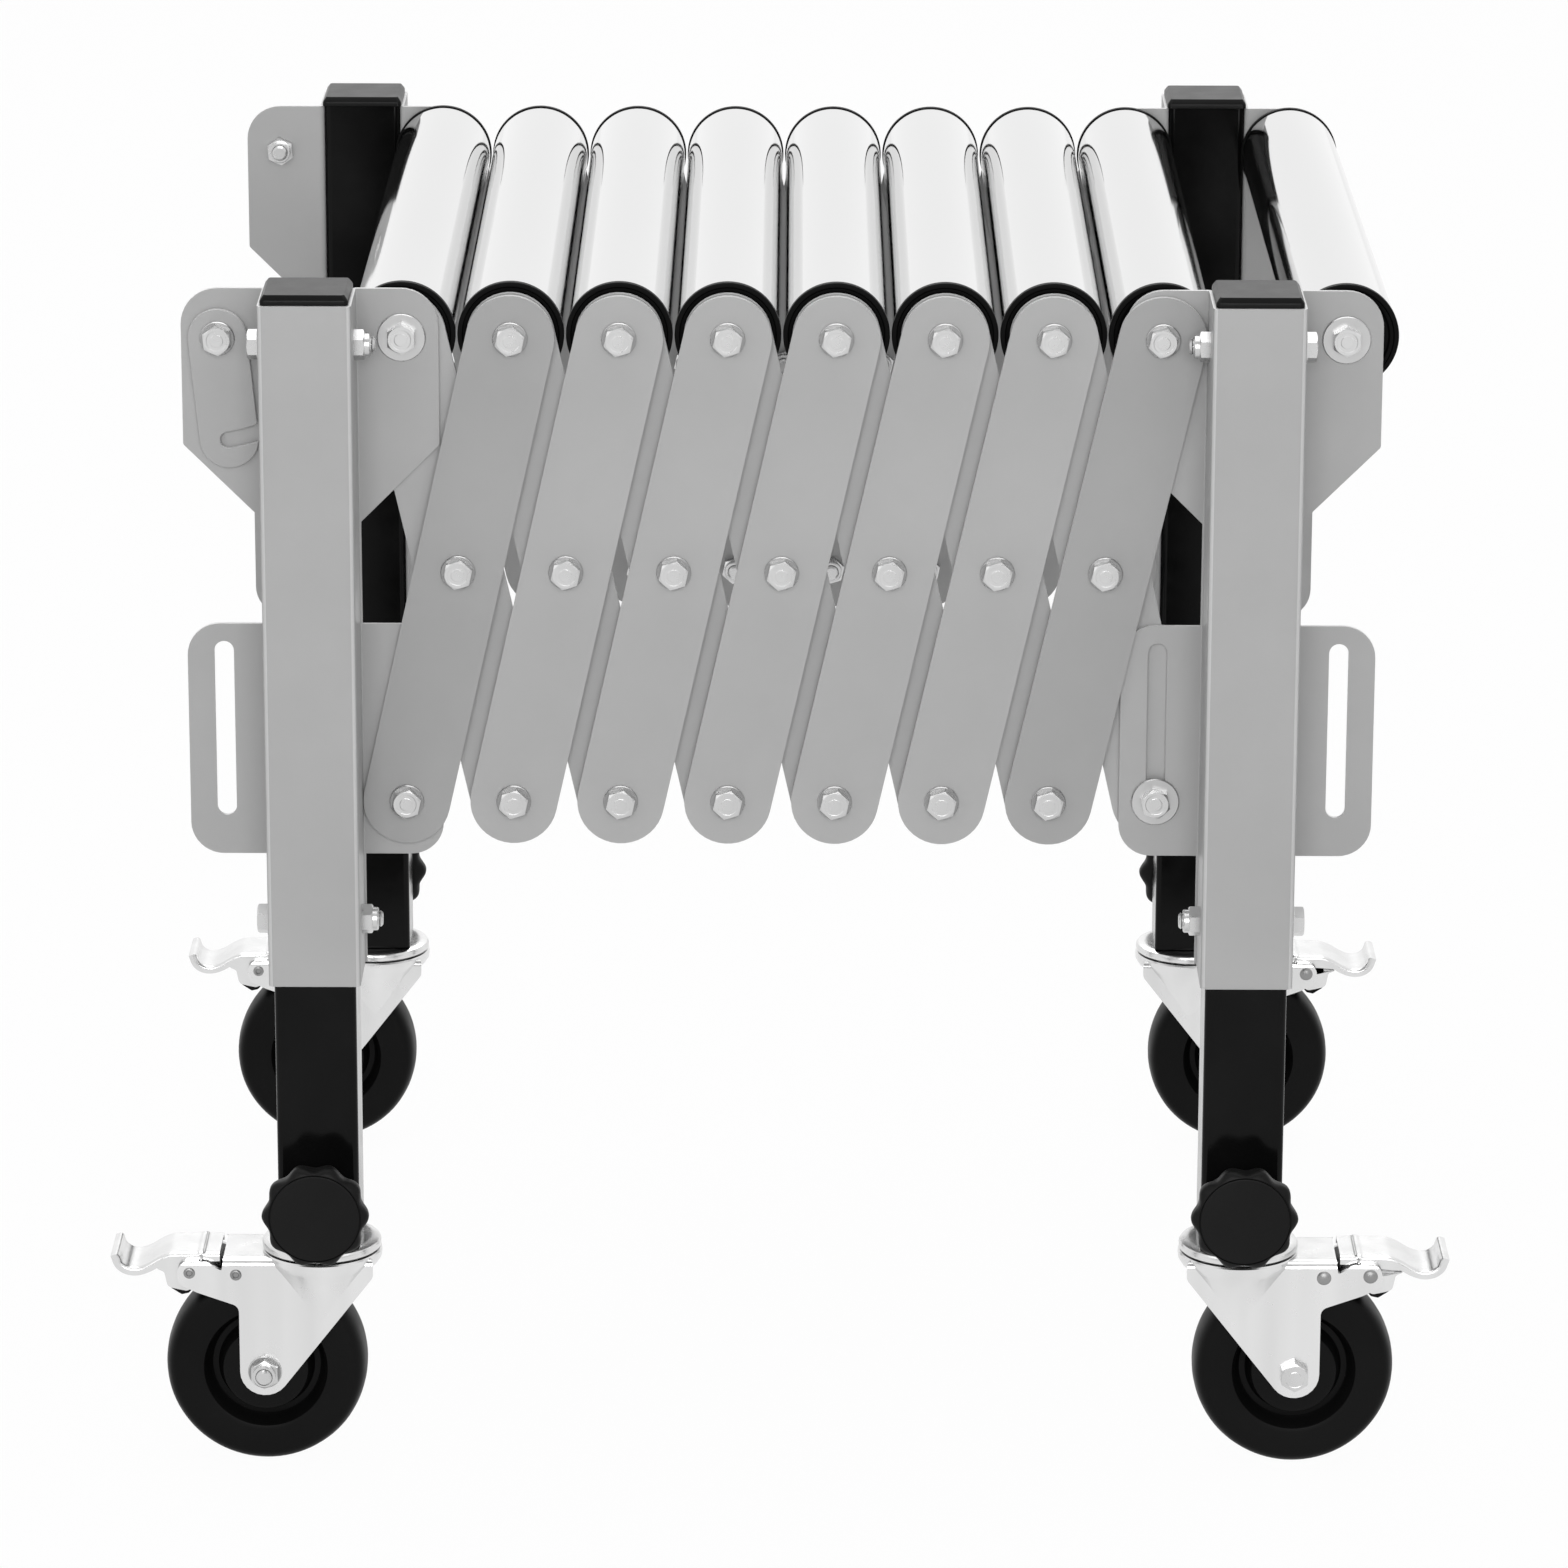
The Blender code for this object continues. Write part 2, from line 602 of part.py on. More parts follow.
def make_leg_tubes():
    """Square tubes, open below, with a chamfered cap that also closes the bracket's top."""
    tube = post(
        [square_loop(TUBE_SIDE, TUBE_CORNER), square_loop(TUBE_SIDE - 2 * TUBE_WALL, TUBE_CORNER - TUBE_WALL)],
        TUBE_BOTTOM,
        TUBE_TOP,
    )
    cap_low = TUBE_TOP + SEAT_GAP
    half = CAP_SIDE / 2
    cap = bmesh.new()
    bmesh.ops.create_cone(
        cap, cap_ends=True, segments=4, depth=CAP_HEIGHT,
        radius1=half * math.sqrt(2), radius2=(half - CAP_CHAMFER) * math.sqrt(2),
    )
    turn = Matrix.Rotation(math.pi / 4, 4, "Z")
    place = Matrix.Translation((0, -LEG_MIDDLE, cap_low + CAP_HEIGHT / 2))
    bmesh.ops.transform(cap, matrix=place @ turn, verts=cap.verts)
    cap_mesh = bpy.data.meshes.new("cap")
    cap.to_mesh(cap_mesh)
    cap.free()
    plug_side = TUBE_SIDE - TUBE_WALL
    plug = post([square_loop(plug_side, TUBE_CORNER)], TUBE_TOP - CAP_HEIGHT, cap_low + CAP_HEIGHT / 2)
    tube = combined(tube, [plug, cap_mesh], "UNION")
    bolt_hole = PIN_RADIUS + PIN_CLEARANCE
    reach = TUBE_SIDE / 2 + OVERRUN
    cuts = []
    for z in CROSS_BOLT_HEIGHTS:
        cuts.append(rod(bolt_hole, (-reach, -LEG_MIDDLE, z), (reach, -LEG_MIDDLE, z), HOLE_STEPS, flats=True))
    knob_hole = (0, -LEG_MIDDLE, KNOB_Z), (0, -LEG_OUTSIDE - OVERRUN, KNOB_Z)
    cuts.append(rod(bolt_hole, *knob_hole, HOLE_STEPS, flats=True))
    near_tube = combined(tube, cuts, "DIFFERENCE")
    far_tube = mirrored(near_tube.copy())
    for end, sign in ENDS.items():
        for side, mesh in (("near", near_tube), ("far", far_tube)):
            add_part(f"leg_tube_{end}_{side}", mesh, "leg_black", (sign * LEG_X, 0, 0))


def make_leg_slides():
    """Inner tubes with the caster's top race and kingpin fixed to their lower end."""
    slide_bottom = RACE_TOP - RACE_HEIGHT / 2
    outer = square_loop(SLIDE_SIDE, TUBE_CORNER)
    inner = square_loop(SLIDE_SIDE - 2 * SLIDE_WALL, TUBE_CORNER - SLIDE_WALL)
    floor = square_loop(SLIDE_SIDE - SLIDE_WALL, TUBE_CORNER)
    tube = post([outer, inner], slide_bottom, RACE_TOP + EXTENSION + INSERTION)
    pin_top = RACE_BOTTOM + RACE_HEIGHT / 4
    head_top = CROWN_BOTTOM - RUNNING_GAP
    centre = (0, -LEG_MIDDLE)
    pieces = [
        post([floor], slide_bottom - RUNNING_GAP, RACE_TOP + SLIDE_FLOOR),
        rod(RACE_RADIUS, (*centre, RACE_BOTTOM), (*centre, RACE_TOP), ROUND_STEPS),
        rod(KINGPIN_RADIUS, (*centre, head_top - KINGPIN_HEAD_HEIGHT / 2), (*centre, pin_top), END_STEPS + 2),
        rod(KINGPIN_HEAD_RADIUS, (*centre, head_top - KINGPIN_HEAD_HEIGHT), (*centre, head_top), END_STEPS + 2),
    ]
    near_slide = combined(tube, pieces, "UNION")
    far_slide = mirrored(near_slide.copy())
    for end, sign in ENDS.items():
        for side, mesh in (("near", near_slide), ("far", far_slide)):
            add_part(f"leg_slide_{end}_{side}", mesh, "leg_black", (sign * LEG_X, 0, 0))


def knob_outline():
    """A lobed outline in the XZ plane round the knob's axis."""
    count = KNOB_LOBES * 4
    loop = []
    for step in range(count):
        angle = 2 * math.pi * step / count
        radius = KNOB_RADIUS + KNOB_LOBE * math.cos(KNOB_LOBES * angle)
        loop.append((radius * math.cos(angle), radius * math.sin(angle)))
    return loop


def make_knobs():
    """Clamp knobs whose studs press on the inner tubes."""
    start = LEG_OUTSIDE + RUNNING_GAP
    body = start + KNOB_BOSS_HEIGHT
    front = body + KNOB_THICKNESS
    slide_face = LEG_MIDDLE + SLIDE_SIDE / 2 + SEAT_GAP
    pieces = [
        rod(KNOB_BOSS_RADIUS, (0, -start, 0), (0, -body - KNOB_FACE_RISE, 0), HOLE_STEPS),
        rod(KNOB_FACE_RADIUS, (0, -front + KNOB_FACE_RISE, 0), (0, -front - KNOB_FACE_RISE, 0), ROUND_STEPS),
        rod(PIN_RADIUS, (0, -slide_face, 0), (0, -body - KNOB_FACE_RISE, 0), PIN_STEPS),
    ]
    near_knob = combined(plate([knob_outline()], body, front), pieces, "UNION")
    far_knob = mirrored(near_knob.copy())
    for end, sign in ENDS.items():
        for side, mesh in (("near", near_knob), ("far", far_knob)):
            add_part(f"clamp_knob_{end}_{side}", mesh, "knob_black", (sign * LEG_X, 0, KNOB_Z))


def from_axle(point):
    """A side view point given from the axle, as (x, z) from the swivel axis and the floor."""
    return (point[0] - TRAIL, point[1] + WHEEL_RADIUS)


def cheek_outline():
    """Side view of the fork: a triangle down to the axle, with an arm out to the pedal's pivot."""
    top = CROWN_BOTTOM + CROWN_SKIRT
    front = Vector((CHEEK_FRONT, top - CHEEK_FRONT_DROP))
    centre = Vector(from_axle((0, 0)))
    slant = math.asin(CHEEK_ROUND / (centre - front).length)
    down = (centre - front).normalized()
    down.rotate(Matrix.Rotation(slant, 2))
    inner_x = centre.x - CHEEK_ROUND
    foot = front + down * ((inner_x - front.x) / down.x)
    pivot_x, pivot_z = from_axle(PEDAL_PIVOT)
    low_x, low_z = from_axle(ARM_TIP_LOW)
    bridge_x = from_axle((BRIDGE_END, 0))[0]
    corners = [
        (CHEEK_FRONT, top, 0),
        (front.x, front.y, CHEEK_INNER_ROUND),
        (foot.x, foot.y, CHEEK_ROUND),
        (inner_x, centre.y + CHEEK_INNER_HEIGHT, CHEEK_INNER_ROUND),
        (low_x, low_z, CHEEK_SHEET),
        (pivot_x - PEDAL_PIVOT_ROUND, pivot_z - PEDAL_PIVOT_ROUND, PEDAL_PIVOT_ROUND / 2),
        (pivot_x - PEDAL_PIVOT_ROUND, pivot_z + PEDAL_PIVOT_ROUND, PEDAL_PIVOT_ROUND),
        (bridge_x, top - BRIDGE_DROP, 0),
        (bridge_x + CHEEK_SHEET, top, 0),
    ]
    return rounded(corners)


def pivot_rivet():
    """The pedal's pivot: a rivet through both cheeks with a head on each side."""
    x, z = from_axle(PEDAL_PIVOT)
    core = CHEEK_FACE + CHEEK_SHEET / 2
    head = CHEEK_FACE + CHEEK_SHEET + RIVET_HEAD_HEIGHT
    pieces = [rod(RIVET_RADIUS, (x, -core - RIVET_HEAD_HEIGHT, z), (x, core + RIVET_HEAD_HEIGHT, z), PIN_STEPS)]
    for side in (-1, 1):
        pieces.append(rod(RIVET_HEAD_RADIUS, (x, side * core, z), (x, side * head, z), PIN_STEPS))
    return pieces


def make_forks():
    """Pressed forks: crown, bridge, two cheeks, the wheel's axle bolt and the rivets."""
    outside = CHEEK_FACE + CHEEK_SHEET
    top = CROWN_BOTTOM + CROWN_SKIRT
    crown_profile = [
        (KINGPIN_RADIUS + PIN_CLEARANCE, CROWN_TOP),
        (CROWN_RADIUS - CROWN_EDGE, CROWN_TOP),
        (CROWN_RADIUS, CROWN_TOP - CROWN_EDGE),
        (CROWN_RADIUS, CROWN_BOTTOM),
        (KINGPIN_RADIUS + PIN_CLEARANCE, CROWN_BOTTOM),
    ]
    bridge_x = from_axle((BRIDGE_END, 0))[0] + CHEEK_SHEET / 2
    bridge_end = -CROWN_RADIUS / 2
    bridge = box(
        (bridge_end - bridge_x, 2 * outside - CHEEK_SHEET, CROWN_SKIRT - 2 * RUNNING_GAP),
        ((bridge_x + bridge_end) / 2, 0, top - CROWN_SKIRT / 2),
    )
    axle_x, axle_z = from_axle((0, 0))
    nut_y = -(outside + NUT_HEIGHT)
    pieces = [
        plate([cheek_outline()], -outside, -CHEEK_FACE),
        bridge,
        turned(crown_profile, ROUND_STEPS),
        rod(AXLE_RADIUS, (axle_x, nut_y - THREAD_END, axle_z), (axle_x, outside + HEAD_HEIGHT / 2, axle_z), PIN_STEPS),
        hexagon_rod((axle_x, nut_y, axle_z), (axle_x, CHEEK_SHEET / 2 - outside, axle_z)),
        hexagon_rod((axle_x, outside - CHEEK_SHEET / 2, axle_z), (axle_x, outside + HEAD_HEIGHT, axle_z)),
    ]
    pieces += pivot_rivet()
    fork = combined(plate([cheek_outline()], CHEEK_FACE, outside), pieces, "UNION")
    place_casters("caster_fork", fork, "zinc", (0, 0))


def make_wheels():
    """Moulded wheels: crowned tread, a groove in each face and a hub that stands a little proud."""
    face = WHEEL_WIDTH / 2
    tread = WHEEL_RADIUS / math.cos(math.pi / WHEEL_STEPS)
    half = [
        (AXLE_RADIUS + PIN_CLEARANCE, face + HUB_OVERHANG),
        (WHEEL_HUB_RADIUS, face + HUB_OVERHANG),
        (WHEEL_GROOVE_INNER, face - WHEEL_GROOVE_DEPTH),
        (WHEEL_GROOVE_OUTER, face - WHEEL_GROOVE_DEPTH),
        (WHEEL_FACE_INNER, face),
        (WHEEL_SHOULDER_RADIUS, face - WHEEL_SHOULDER_INSET),
        (tread, WHEEL_CROWN_HALF),
    ]
    profile = half + [(radius, -height) for radius, height in half[::-1]]
    wheel = along_y(turned(profile, WHEEL_STEPS))
    wheel.transform(Matrix.Rotation(math.pi / WHEEL_STEPS, 4, "Y"))
    place_casters("caster_wheel", wheel, "wheel_black", (0, 0), at_axle=True)


def make_pedals():
    """Brake pedals: a bent plate over the fork's arm, with two ears between the cheeks."""
    half = PEDAL_WIDTH / 2
    ear_outside = CHEEK_FACE - EAR_GAP
    ear_inside = ear_outside - EAR_SHEET
    ears = [rounded(list(EAR_CORNERS)), circle(0, 0, RIVET_RADIUS + PIN_CLEARANCE, PIN_STEPS)]
    pieces = [plate(ears, ear_inside, ear_outside), plate(ears, -ear_outside, -ear_inside)]
    pedal = combined(plate([ribbon(PEDAL_LINE, PEDAL_SHEET)], -half, half), pieces, "UNION")
    place_casters("brake_pedal", pedal, "zinc", PEDAL_PIVOT, at_axle=True)


def place_casters(name, mesh, slot, offset, at_axle=False):
    """One copy under each leg. Left casters trail to the left, right ones are turned half round."""
    for end, sign in ENDS.items():
        turn = 0 if sign < 0 else math.pi
        x, z = from_axle(offset) if at_axle else (0, 0)
        for side, side_sign in SIDES.items():
            place = (sign * LEG_X - sign * x, side_sign * LEG_MIDDLE, z)
            add_part(f"{name}_{end}_{side}", mesh, slot, place, (0, 0, turn))


def make_hook_plates():
    """Plates on the left legs that hook a second conveyor's bolt."""
    outside = OUTER_ARM_FACE + ARM_SHEET
    middle = (OUTER_ARM_FACE + outside) / 2
    shape = plate([stadium(0, -HOOK_LENGTH, 0, HOOK_WIDTH)], OUTER_ARM_FACE, outside)
    notch_mesh = plate([ribbon(NOTCH_LINE, NOTCH_WIDTH)], OUTER_ARM_FACE - OVERRUN, outside + OVERRUN)
    end_x, end_z = NOTCH_LINE[-1]
    notch_end = rod(
        NOTCH_WIDTH / 2, (end_x, -(OUTER_ARM_FACE - OVERRUN), end_z), (end_x, -(outside + OVERRUN), end_z),
        END_STEPS + 2,
    )
    shape = combined(shape, [notch_mesh, notch_end], "DIFFERENCE")
    near_plate = combined(shape, pivot_bolt(0, 0, WING_FACE, outside, middle), "UNION")
    far_plate = mirrored(near_plate.copy())
    for side, mesh in (("near", near_plate), ("far", far_plate)):
        place = (-LEG_X - HOLE_OFFSET, 0, PIVOT_Z)
        add_part(f"hook_plate_{side}", mesh, "bracket_paint", place, (0, -HOOK_TILT, 0))


def main():
    clear_scene()
    parts = bpy.data.collections.new("folding_roller_conveyor")
    bpy.context.scene.collection.children.link(parts)
    for name in MATERIALS:
        make_material(name)
    make_brackets()
    make_leg_tubes()
    make_leg_slides()
    make_knobs()
    make_forks()
    make_wheels()
    make_pedals()
    make_hook_plates()
    make_outer_arms()
    make_inner_arms()
    make_rollers()


main()
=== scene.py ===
"""Looks of the folding roller conveyor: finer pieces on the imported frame, materials, floor, light and camera.

Distances from the middle plane are counted outwards, as in the part's source, so each near piece is built on the
near side (-Y) and mirrored for the far side.
"""
import math

import bmesh
import bpy
from mathutils import Matrix, Vector


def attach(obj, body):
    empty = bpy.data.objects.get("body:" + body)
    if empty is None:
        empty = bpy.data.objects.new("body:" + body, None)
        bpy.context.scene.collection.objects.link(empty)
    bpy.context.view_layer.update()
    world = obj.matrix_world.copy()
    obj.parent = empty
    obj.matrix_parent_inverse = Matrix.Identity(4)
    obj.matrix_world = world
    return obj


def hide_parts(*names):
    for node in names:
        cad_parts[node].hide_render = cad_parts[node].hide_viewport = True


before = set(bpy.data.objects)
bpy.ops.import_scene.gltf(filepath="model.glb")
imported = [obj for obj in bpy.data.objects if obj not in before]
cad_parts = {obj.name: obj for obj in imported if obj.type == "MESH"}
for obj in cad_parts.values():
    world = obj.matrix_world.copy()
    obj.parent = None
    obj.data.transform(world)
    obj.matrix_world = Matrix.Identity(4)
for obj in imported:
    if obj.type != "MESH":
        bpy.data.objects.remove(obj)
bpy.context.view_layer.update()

# Sizes shared with the CAD, in metres. A face or outside is a distance from the middle plane, a half is a half width.
CELLS = 7
PITCH = 0.0524
ARM_LENGTH = 0.238
ARM_WIDTH = 0.0426
ARM_SHEET = 0.003
HOLE_OFFSET = 0.0442  # from a leg's middle to its axle holes and slots, along X
ROLLER_HALF = 0.217
ROLLER_RADIUS = 0.0253
RING_RADIUS = 0.0258
RING_WIDTH = 0.0036
PIN_RADIUS = 0.004
FOLD_ANGLE = math.asin(PITCH / ARM_LENGTH)
STRETCHED_ANGLE = math.radians(47.7)  # of the arms from upright, at full stretch
CELL_HEIGHT = ARM_LENGTH * math.cos(FOLD_ANGLE)
SLOT_TRAVEL = CELL_HEIGHT - ARM_LENGTH * math.cos(STRETCHED_ANGLE)
LEG_X = CELLS * PITCH / 2 + HOLE_OFFSET
PIVOT_Z = 0.568  # height of the roller axles, on which the arms turn
LOWER_PIVOT_Z = PIVOT_Z - CELL_HEIGHT
TUBE_TOP = 0.592
TUBE_BOTTOM = 0.116
TUBE_SIDE = 0.040
INNER_ARM_FACE = 0.218
WING_FACE = 0.2215
SHEET = 0.0022
BRACKET_HEIGHT = 0.340
WING_OUTSIDE = WING_FACE + SHEET
OUTER_ARM_FACE = 0.2242
ARMS_OUTSIDE = OUTER_ARM_FACE + ARM_SHEET
LEG_MIDDLE = 0.2415
CHANNEL_HALF = 0.0225
CHANNEL_OUTSIDE = 0.264
SLIDE_SIDE = 0.035
SLIDE_BOTTOM = 0.1155  # of the inner tube, with the leg short
SLIDE_TOP = 0.2645
TRAIL = 0.028  # from the swivel axis back to the wheel's middle
WHEEL_RADIUS = 0.050
CROSS_BOLTS = (0.5685, 0.280)  # heights
KNOB_HEIGHT = 0.1415
SIDES = {"near": -1, "far": 1}
ENDS = {"left": -1, "right": 1}

# Sizes that only the looks need
HOLE_RADIUS = PIN_RADIUS + 0.0004
SLOT_WIDTH = 0.0095
SLOT_PLAY = 0.0035
TUBE_WALL = 0.002
HEAD_FLATS = 0.013
HEAD_HEIGHT = 0.0050
WASHER_RADIUS = 0.0085
WIDE_WASHER_RADIUS = 0.0118
WASHER_SHEET = 0.0010
WASHER_LIFT = 0.0003
NUT_HEIGHT = 0.0052
THREAD_HEIGHT = 0.0101
THREAD_PITCH = 0.00125
EDGE = 0.0004  # width of a sheet's rounded edge
HOOK_NOTCH_HALF = 0.0041
HOOK_LEAN = math.radians(5.5)
FORK_TOP = 0.1094
FORK_HALF = 0.020
FORK_SHEET = 0.0025
CUT_MARGIN = 0.01  # how far a cutting shape stands past what it cuts
SMOOTH_ANGLE = 32
BOLT_SMOOTH_ANGLE = 20

# Camera, floor and lamps. A lamp has a place, a target, a width and height, and its power in watts.
CAMERA_PLACE = (0.0068, -3.668, 1.368)
CAMERA_LENS = 168.3
CAMERA_TURN = math.radians(0.09)
CAMERA_TILT = math.radians(16.555)
CAMERA_ROLL = math.radians(0.14)
FLOOR_CLEAR_SHARE = 0.97
LAMPS = {
    "top": ((0.0, 0.2, 3.0), (0, 0, 0.3), (2.6, 2.6), 26),
    "front": ((0.0, -4.4, 1.9), (0, 0, 0.3), (3.0, 2.0), 86),
    "front_left": ((-2.4, -2.6, 1.6), (0, 0, 0.3), (1.6, 1.6), 8),
    "front_right": ((2.4, -2.6, 1.6), (0, 0, 0.3), (1.6, 1.6), 6),
    "back": ((0.0, 5.2, 1.6), (0, 0, 0.9), (5.6, 2.8), 4.7),
    "back_top": ((0.0, 4.0, 3.8), (0, 0, 0.3), (3.0, 2.0), 60),
}


# Materials

def grey(value):
    return (value, value, value, 1)


def new_material(name, tone, metallic, roughness, level=0.5):
    material = bpy.data.materials.new(name)
    material.use_nodes = True
    shader = material.node_tree.nodes["Principled BSDF"]
    shader.inputs["Base Color"].default_value = grey(tone)
    shader.inputs["Metallic"].default_value = metallic
    shader.inputs["Roughness"].default_value = roughness
    shader.inputs["Specular IOR Level"].default_value = level
    return material, material.node_tree, shader


def noise(tree, scale, detail, stretch=(1, 1, 1)):
    place = tree.nodes.new("ShaderNodeTexCoord")
    mapping = tree.nodes.new("ShaderNodeMapping")
    mapping.inputs["Scale"].default_value = stretch
    texture = tree.nodes.new("ShaderNodeTexNoise")
    texture.inputs["Scale"].default_value = scale
    texture.inputs["Detail"].default_value = detail
    tree.links.new(place.outputs["Object"], mapping.inputs["Vector"])
    tree.links.new(mapping.outputs["Vector"], texture.inputs["Vector"])
    return texture.outputs["Fac"]


def ranged(tree, source, low, high, start=0.3, end=0.7):
    """A value that goes from low to high while its source goes from start to end."""
    node = tree.nodes.new("ShaderNodeMapRange")
    node.inputs["From Min"].default_value = start
    node.inputs["From Max"].default_value = end
    node.inputs["To Min"].default_value = low
    node.inputs["To Max"].default_value = high
    tree.links.new(source, node.inputs["Value"])
    return node.outputs["Result"]


def tinted(tree, shader, source, dark, light):
    """Base colour between two greys that follows a texture."""
    ramp = tree.nodes.new("ShaderNodeValToRGB")
    for element, position, tone in zip(ramp.color_ramp.elements, (0.3, 0.7), (dark, light)):
        element.position = position
        element.color = grey(tone)
    tree.links.new(source, ramp.inputs["Fac"])
    tree.links.new(ramp.outputs["Color"], shader.inputs["Base Color"])


def bumped(tree, shader, source, strength, distance):
    bump = tree.nodes.new("ShaderNodeBump")
    bump.inputs["Strength"].default_value = strength
    bump.inputs["Distance"].default_value = distance
    tree.links.new(source, bump.inputs["Height"])
    tree.links.new(bump.outputs["Normal"], shader.inputs["Normal"])


def make_paint(name, tone, low=0.34, high=0.46):
    """Silver-grey powder coat: fine peel, slight clouding, satin sheen."""
    material, tree, shader = new_material(name, tone, 0.0, low)
    tinted(tree, shader, noise(tree, 14, 4), tone * 0.96, tone * 1.04)
    tree.links.new(ranged(tree, noise(tree, 60, 3), low, high), shader.inputs["Roughness"])
    bumped(tree, shader, noise(tree, 1400, 2), 0.10, 0.0003)
    return material


def make_gloss_black():
    material, tree, shader = new_material("gloss_black", 0.004, 0.0, 0.12, 0.10)
    tinted(tree, shader, noise(tree, 30, 3), 0.003, 0.005)
    tree.links.new(ranged(tree, noise(tree, 90, 3), 0.10, 0.16), shader.inputs["Roughness"])
    bumped(tree, shader, noise(tree, 500, 2), 0.03, 0.0002)
    return material


def make_chrome():
    """Chrome on drawn tube, with faint streaks along it."""
    material, tree, shader = new_material("chrome", 0.67, 1.0, 0.05)
    tinted(tree, shader, noise(tree, 8, 3, (1, 0.2, 1)), 0.65, 0.69)
    tree.links.new(ranged(tree, noise(tree, 40, 4, (1, 0.1, 1)), 0.04, 0.10), shader.inputs["Roughness"])
    bumped(tree, shader, noise(tree, 22, 2, (1, 0.15, 1)), 0.04, 0.0006)
    return material


def make_zinc(name, tone, low, high):
    """Bright zinc on pressed steel, with soft bands that run down the sheet."""
    material, tree, shader = new_material(name, tone, 1.0, low)
    tinted(tree, shader, noise(tree, 70, 1, (1, 1, 0.04)), tone * 0.95, tone * 1.05)
    tree.links.new(ranged(tree, noise(tree, 120, 4), low, high), shader.inputs["Roughness"])
    bumped(tree, shader, noise(tree, 90, 1, (1, 1, 0.3)), 0.03, 0.0002)
    return material


def make_moulded(name, tone, low, high, grain, level=0.12):
    """Moulded black plastic or hard rubber."""
    material, tree, shader = new_material(name, tone, 0.0, low, level)
    tinted(tree, shader, noise(tree, 24, 3), tone * 0.8, tone * 1.25)
    tree.links.new(ranged(tree, noise(tree, 80, 3), low, high), shader.inputs["Roughness"])
    bumped(tree, shader, noise(tree, grain, 3), 0.15, 0.0003)
    return material


PAINT = make_paint("bracket_paint_grey", 0.400)
ARM_PAINT = make_paint("arm_paint_grey", 0.405)
# Painted shade: a darker copy of the arm paint on the outer arms of the two end cells.
END_ARM_SHADE_PAINT = make_paint("end_arm_painted_shade_grey", 0.352)
# Painted highlight: a lighter copy of the paint on the sheets' rounded cut edges, for the light that these edges
# catch.
EDGE_HIGHLIGHT_PAINT = make_paint("cut_edge_painted_highlight", 0.740, 0.26, 0.36)
# Painted highlight: a lighter copy of the paint on the middle of the bracket channel's outer bends, for the light
# that the bends catch.
BEND_HIGHLIGHT_PAINT = make_paint("bend_painted_highlight", 0.560, 0.28, 0.38)
GLOSS_BLACK = make_gloss_black()
CHROME = make_chrome()
ZINC = make_zinc("bright_zinc", 0.74, 0.22, 0.28)
BOLT_ZINC = make_zinc("bolt_zinc", 0.60, 0.24, 0.32)
# Painted shade: a darker copy of the zinc on a small washer's face, for the shade under the bolt's head. The fork's
# rivet ends are given it whole.
WASHER_SHADE_ZINC = make_zinc("washer_zinc_painted_shade", 0.30, 0.36, 0.44)
# Painted shade: a slightly darker copy of the zinc on a wide washer's face, so that its rim stands out brighter.
WIDE_WASHER_SHADE_ZINC = make_zinc("wide_washer_zinc_painted_shade", 0.50, 0.30, 0.38)
WHEEL_BLACK = make_moulded("wheel_rubber", 0.004, 0.36, 0.46, 700, 0.09)
PLASTIC_BLACK = make_moulded("black_plastic", 0.006, 0.38, 0.48, 1100)
RING_BLACK = make_moulded("ring_plastic", 0.003, 0.40, 0.50, 900, 0.06)
CAP_BLACK = make_moulded("cap_plastic", 0.005, 0.28, 0.34, 900)
BOLTS = (BOLT_ZINC, WASHER_SHADE_ZINC, WIDE_WASHER_SHADE_ZINC)
BRACKET_SHEET = (PAINT, EDGE_HIGHLIGHT_PAINT, BEND_HIGHLIGHT_PAINT)
ARM_SHEETS = (ARM_PAINT, EDGE_HIGHLIGHT_PAINT)
END_ARM_SHADE_SHEETS = (END_ARM_SHADE_PAINT, EDGE_HIGHLIGHT_PAINT)


# Mesh building

def finished(shape, name):
    """The mesh of a bmesh, which is freed."""
    mesh = bpy.data.meshes.new(name)
    shape.to_mesh(mesh)
    shape.free()
    return mesh


def held(data):
    holder = bpy.data.objects.new("holder", data)
    bpy.context.scene.collection.objects.link(holder)
    return holder


def evaluated(holder):
    """The holder's mesh with its modifiers applied. The holder is removed."""
    depsgraph = bpy.context.evaluated_depsgraph_get()
    mesh = bpy.data.meshes.new_from_object(holder.evaluated_get(depsgraph))
    bpy.data.objects.remove(holder)
    return mesh


def settled(holder):
    """The holder's evaluated mesh with doubled points merged and its faces turned outwards."""
    mesh = evaluated(holder)
    shape = bmesh.new()
    shape.from_mesh(mesh)
    bmesh.ops.remove_doubles(shape, verts=shape.verts, dist=1e-6)
    bmesh.ops.recalc_face_normals(shape, faces=shape.faces)
    shape.to_mesh(mesh)
    shape.free()
    return mesh


def joined_flats(mesh):
    shape = bmesh.new()
    shape.from_mesh(mesh)
    bmesh.ops.dissolve_limit(shape, angle_limit=math.radians(0.5), verts=shape.verts, edges=shape.edges)
    shape.to_mesh(mesh)
    shape.free()
    return mesh


def filled(loops, thickness):
    """A flat plate in the XY plane from closed outlines; outlines inside the first are holes."""
    curve = bpy.data.curves.new("outline", "CURVE")
    curve.dimensions = "2D"
    curve.fill_mode = "BOTH"
    curve.extrude = thickness / 2
    for loop in loops:
        spline = curve.splines.new("POLY")
        spline.points.add(len(loop) - 1)
        for point, (x, y) in zip(spline.points, loop):
            point.co = (x, y, 0, 1)
        spline.use_cyclic_u = True
    return settled(held(curve))


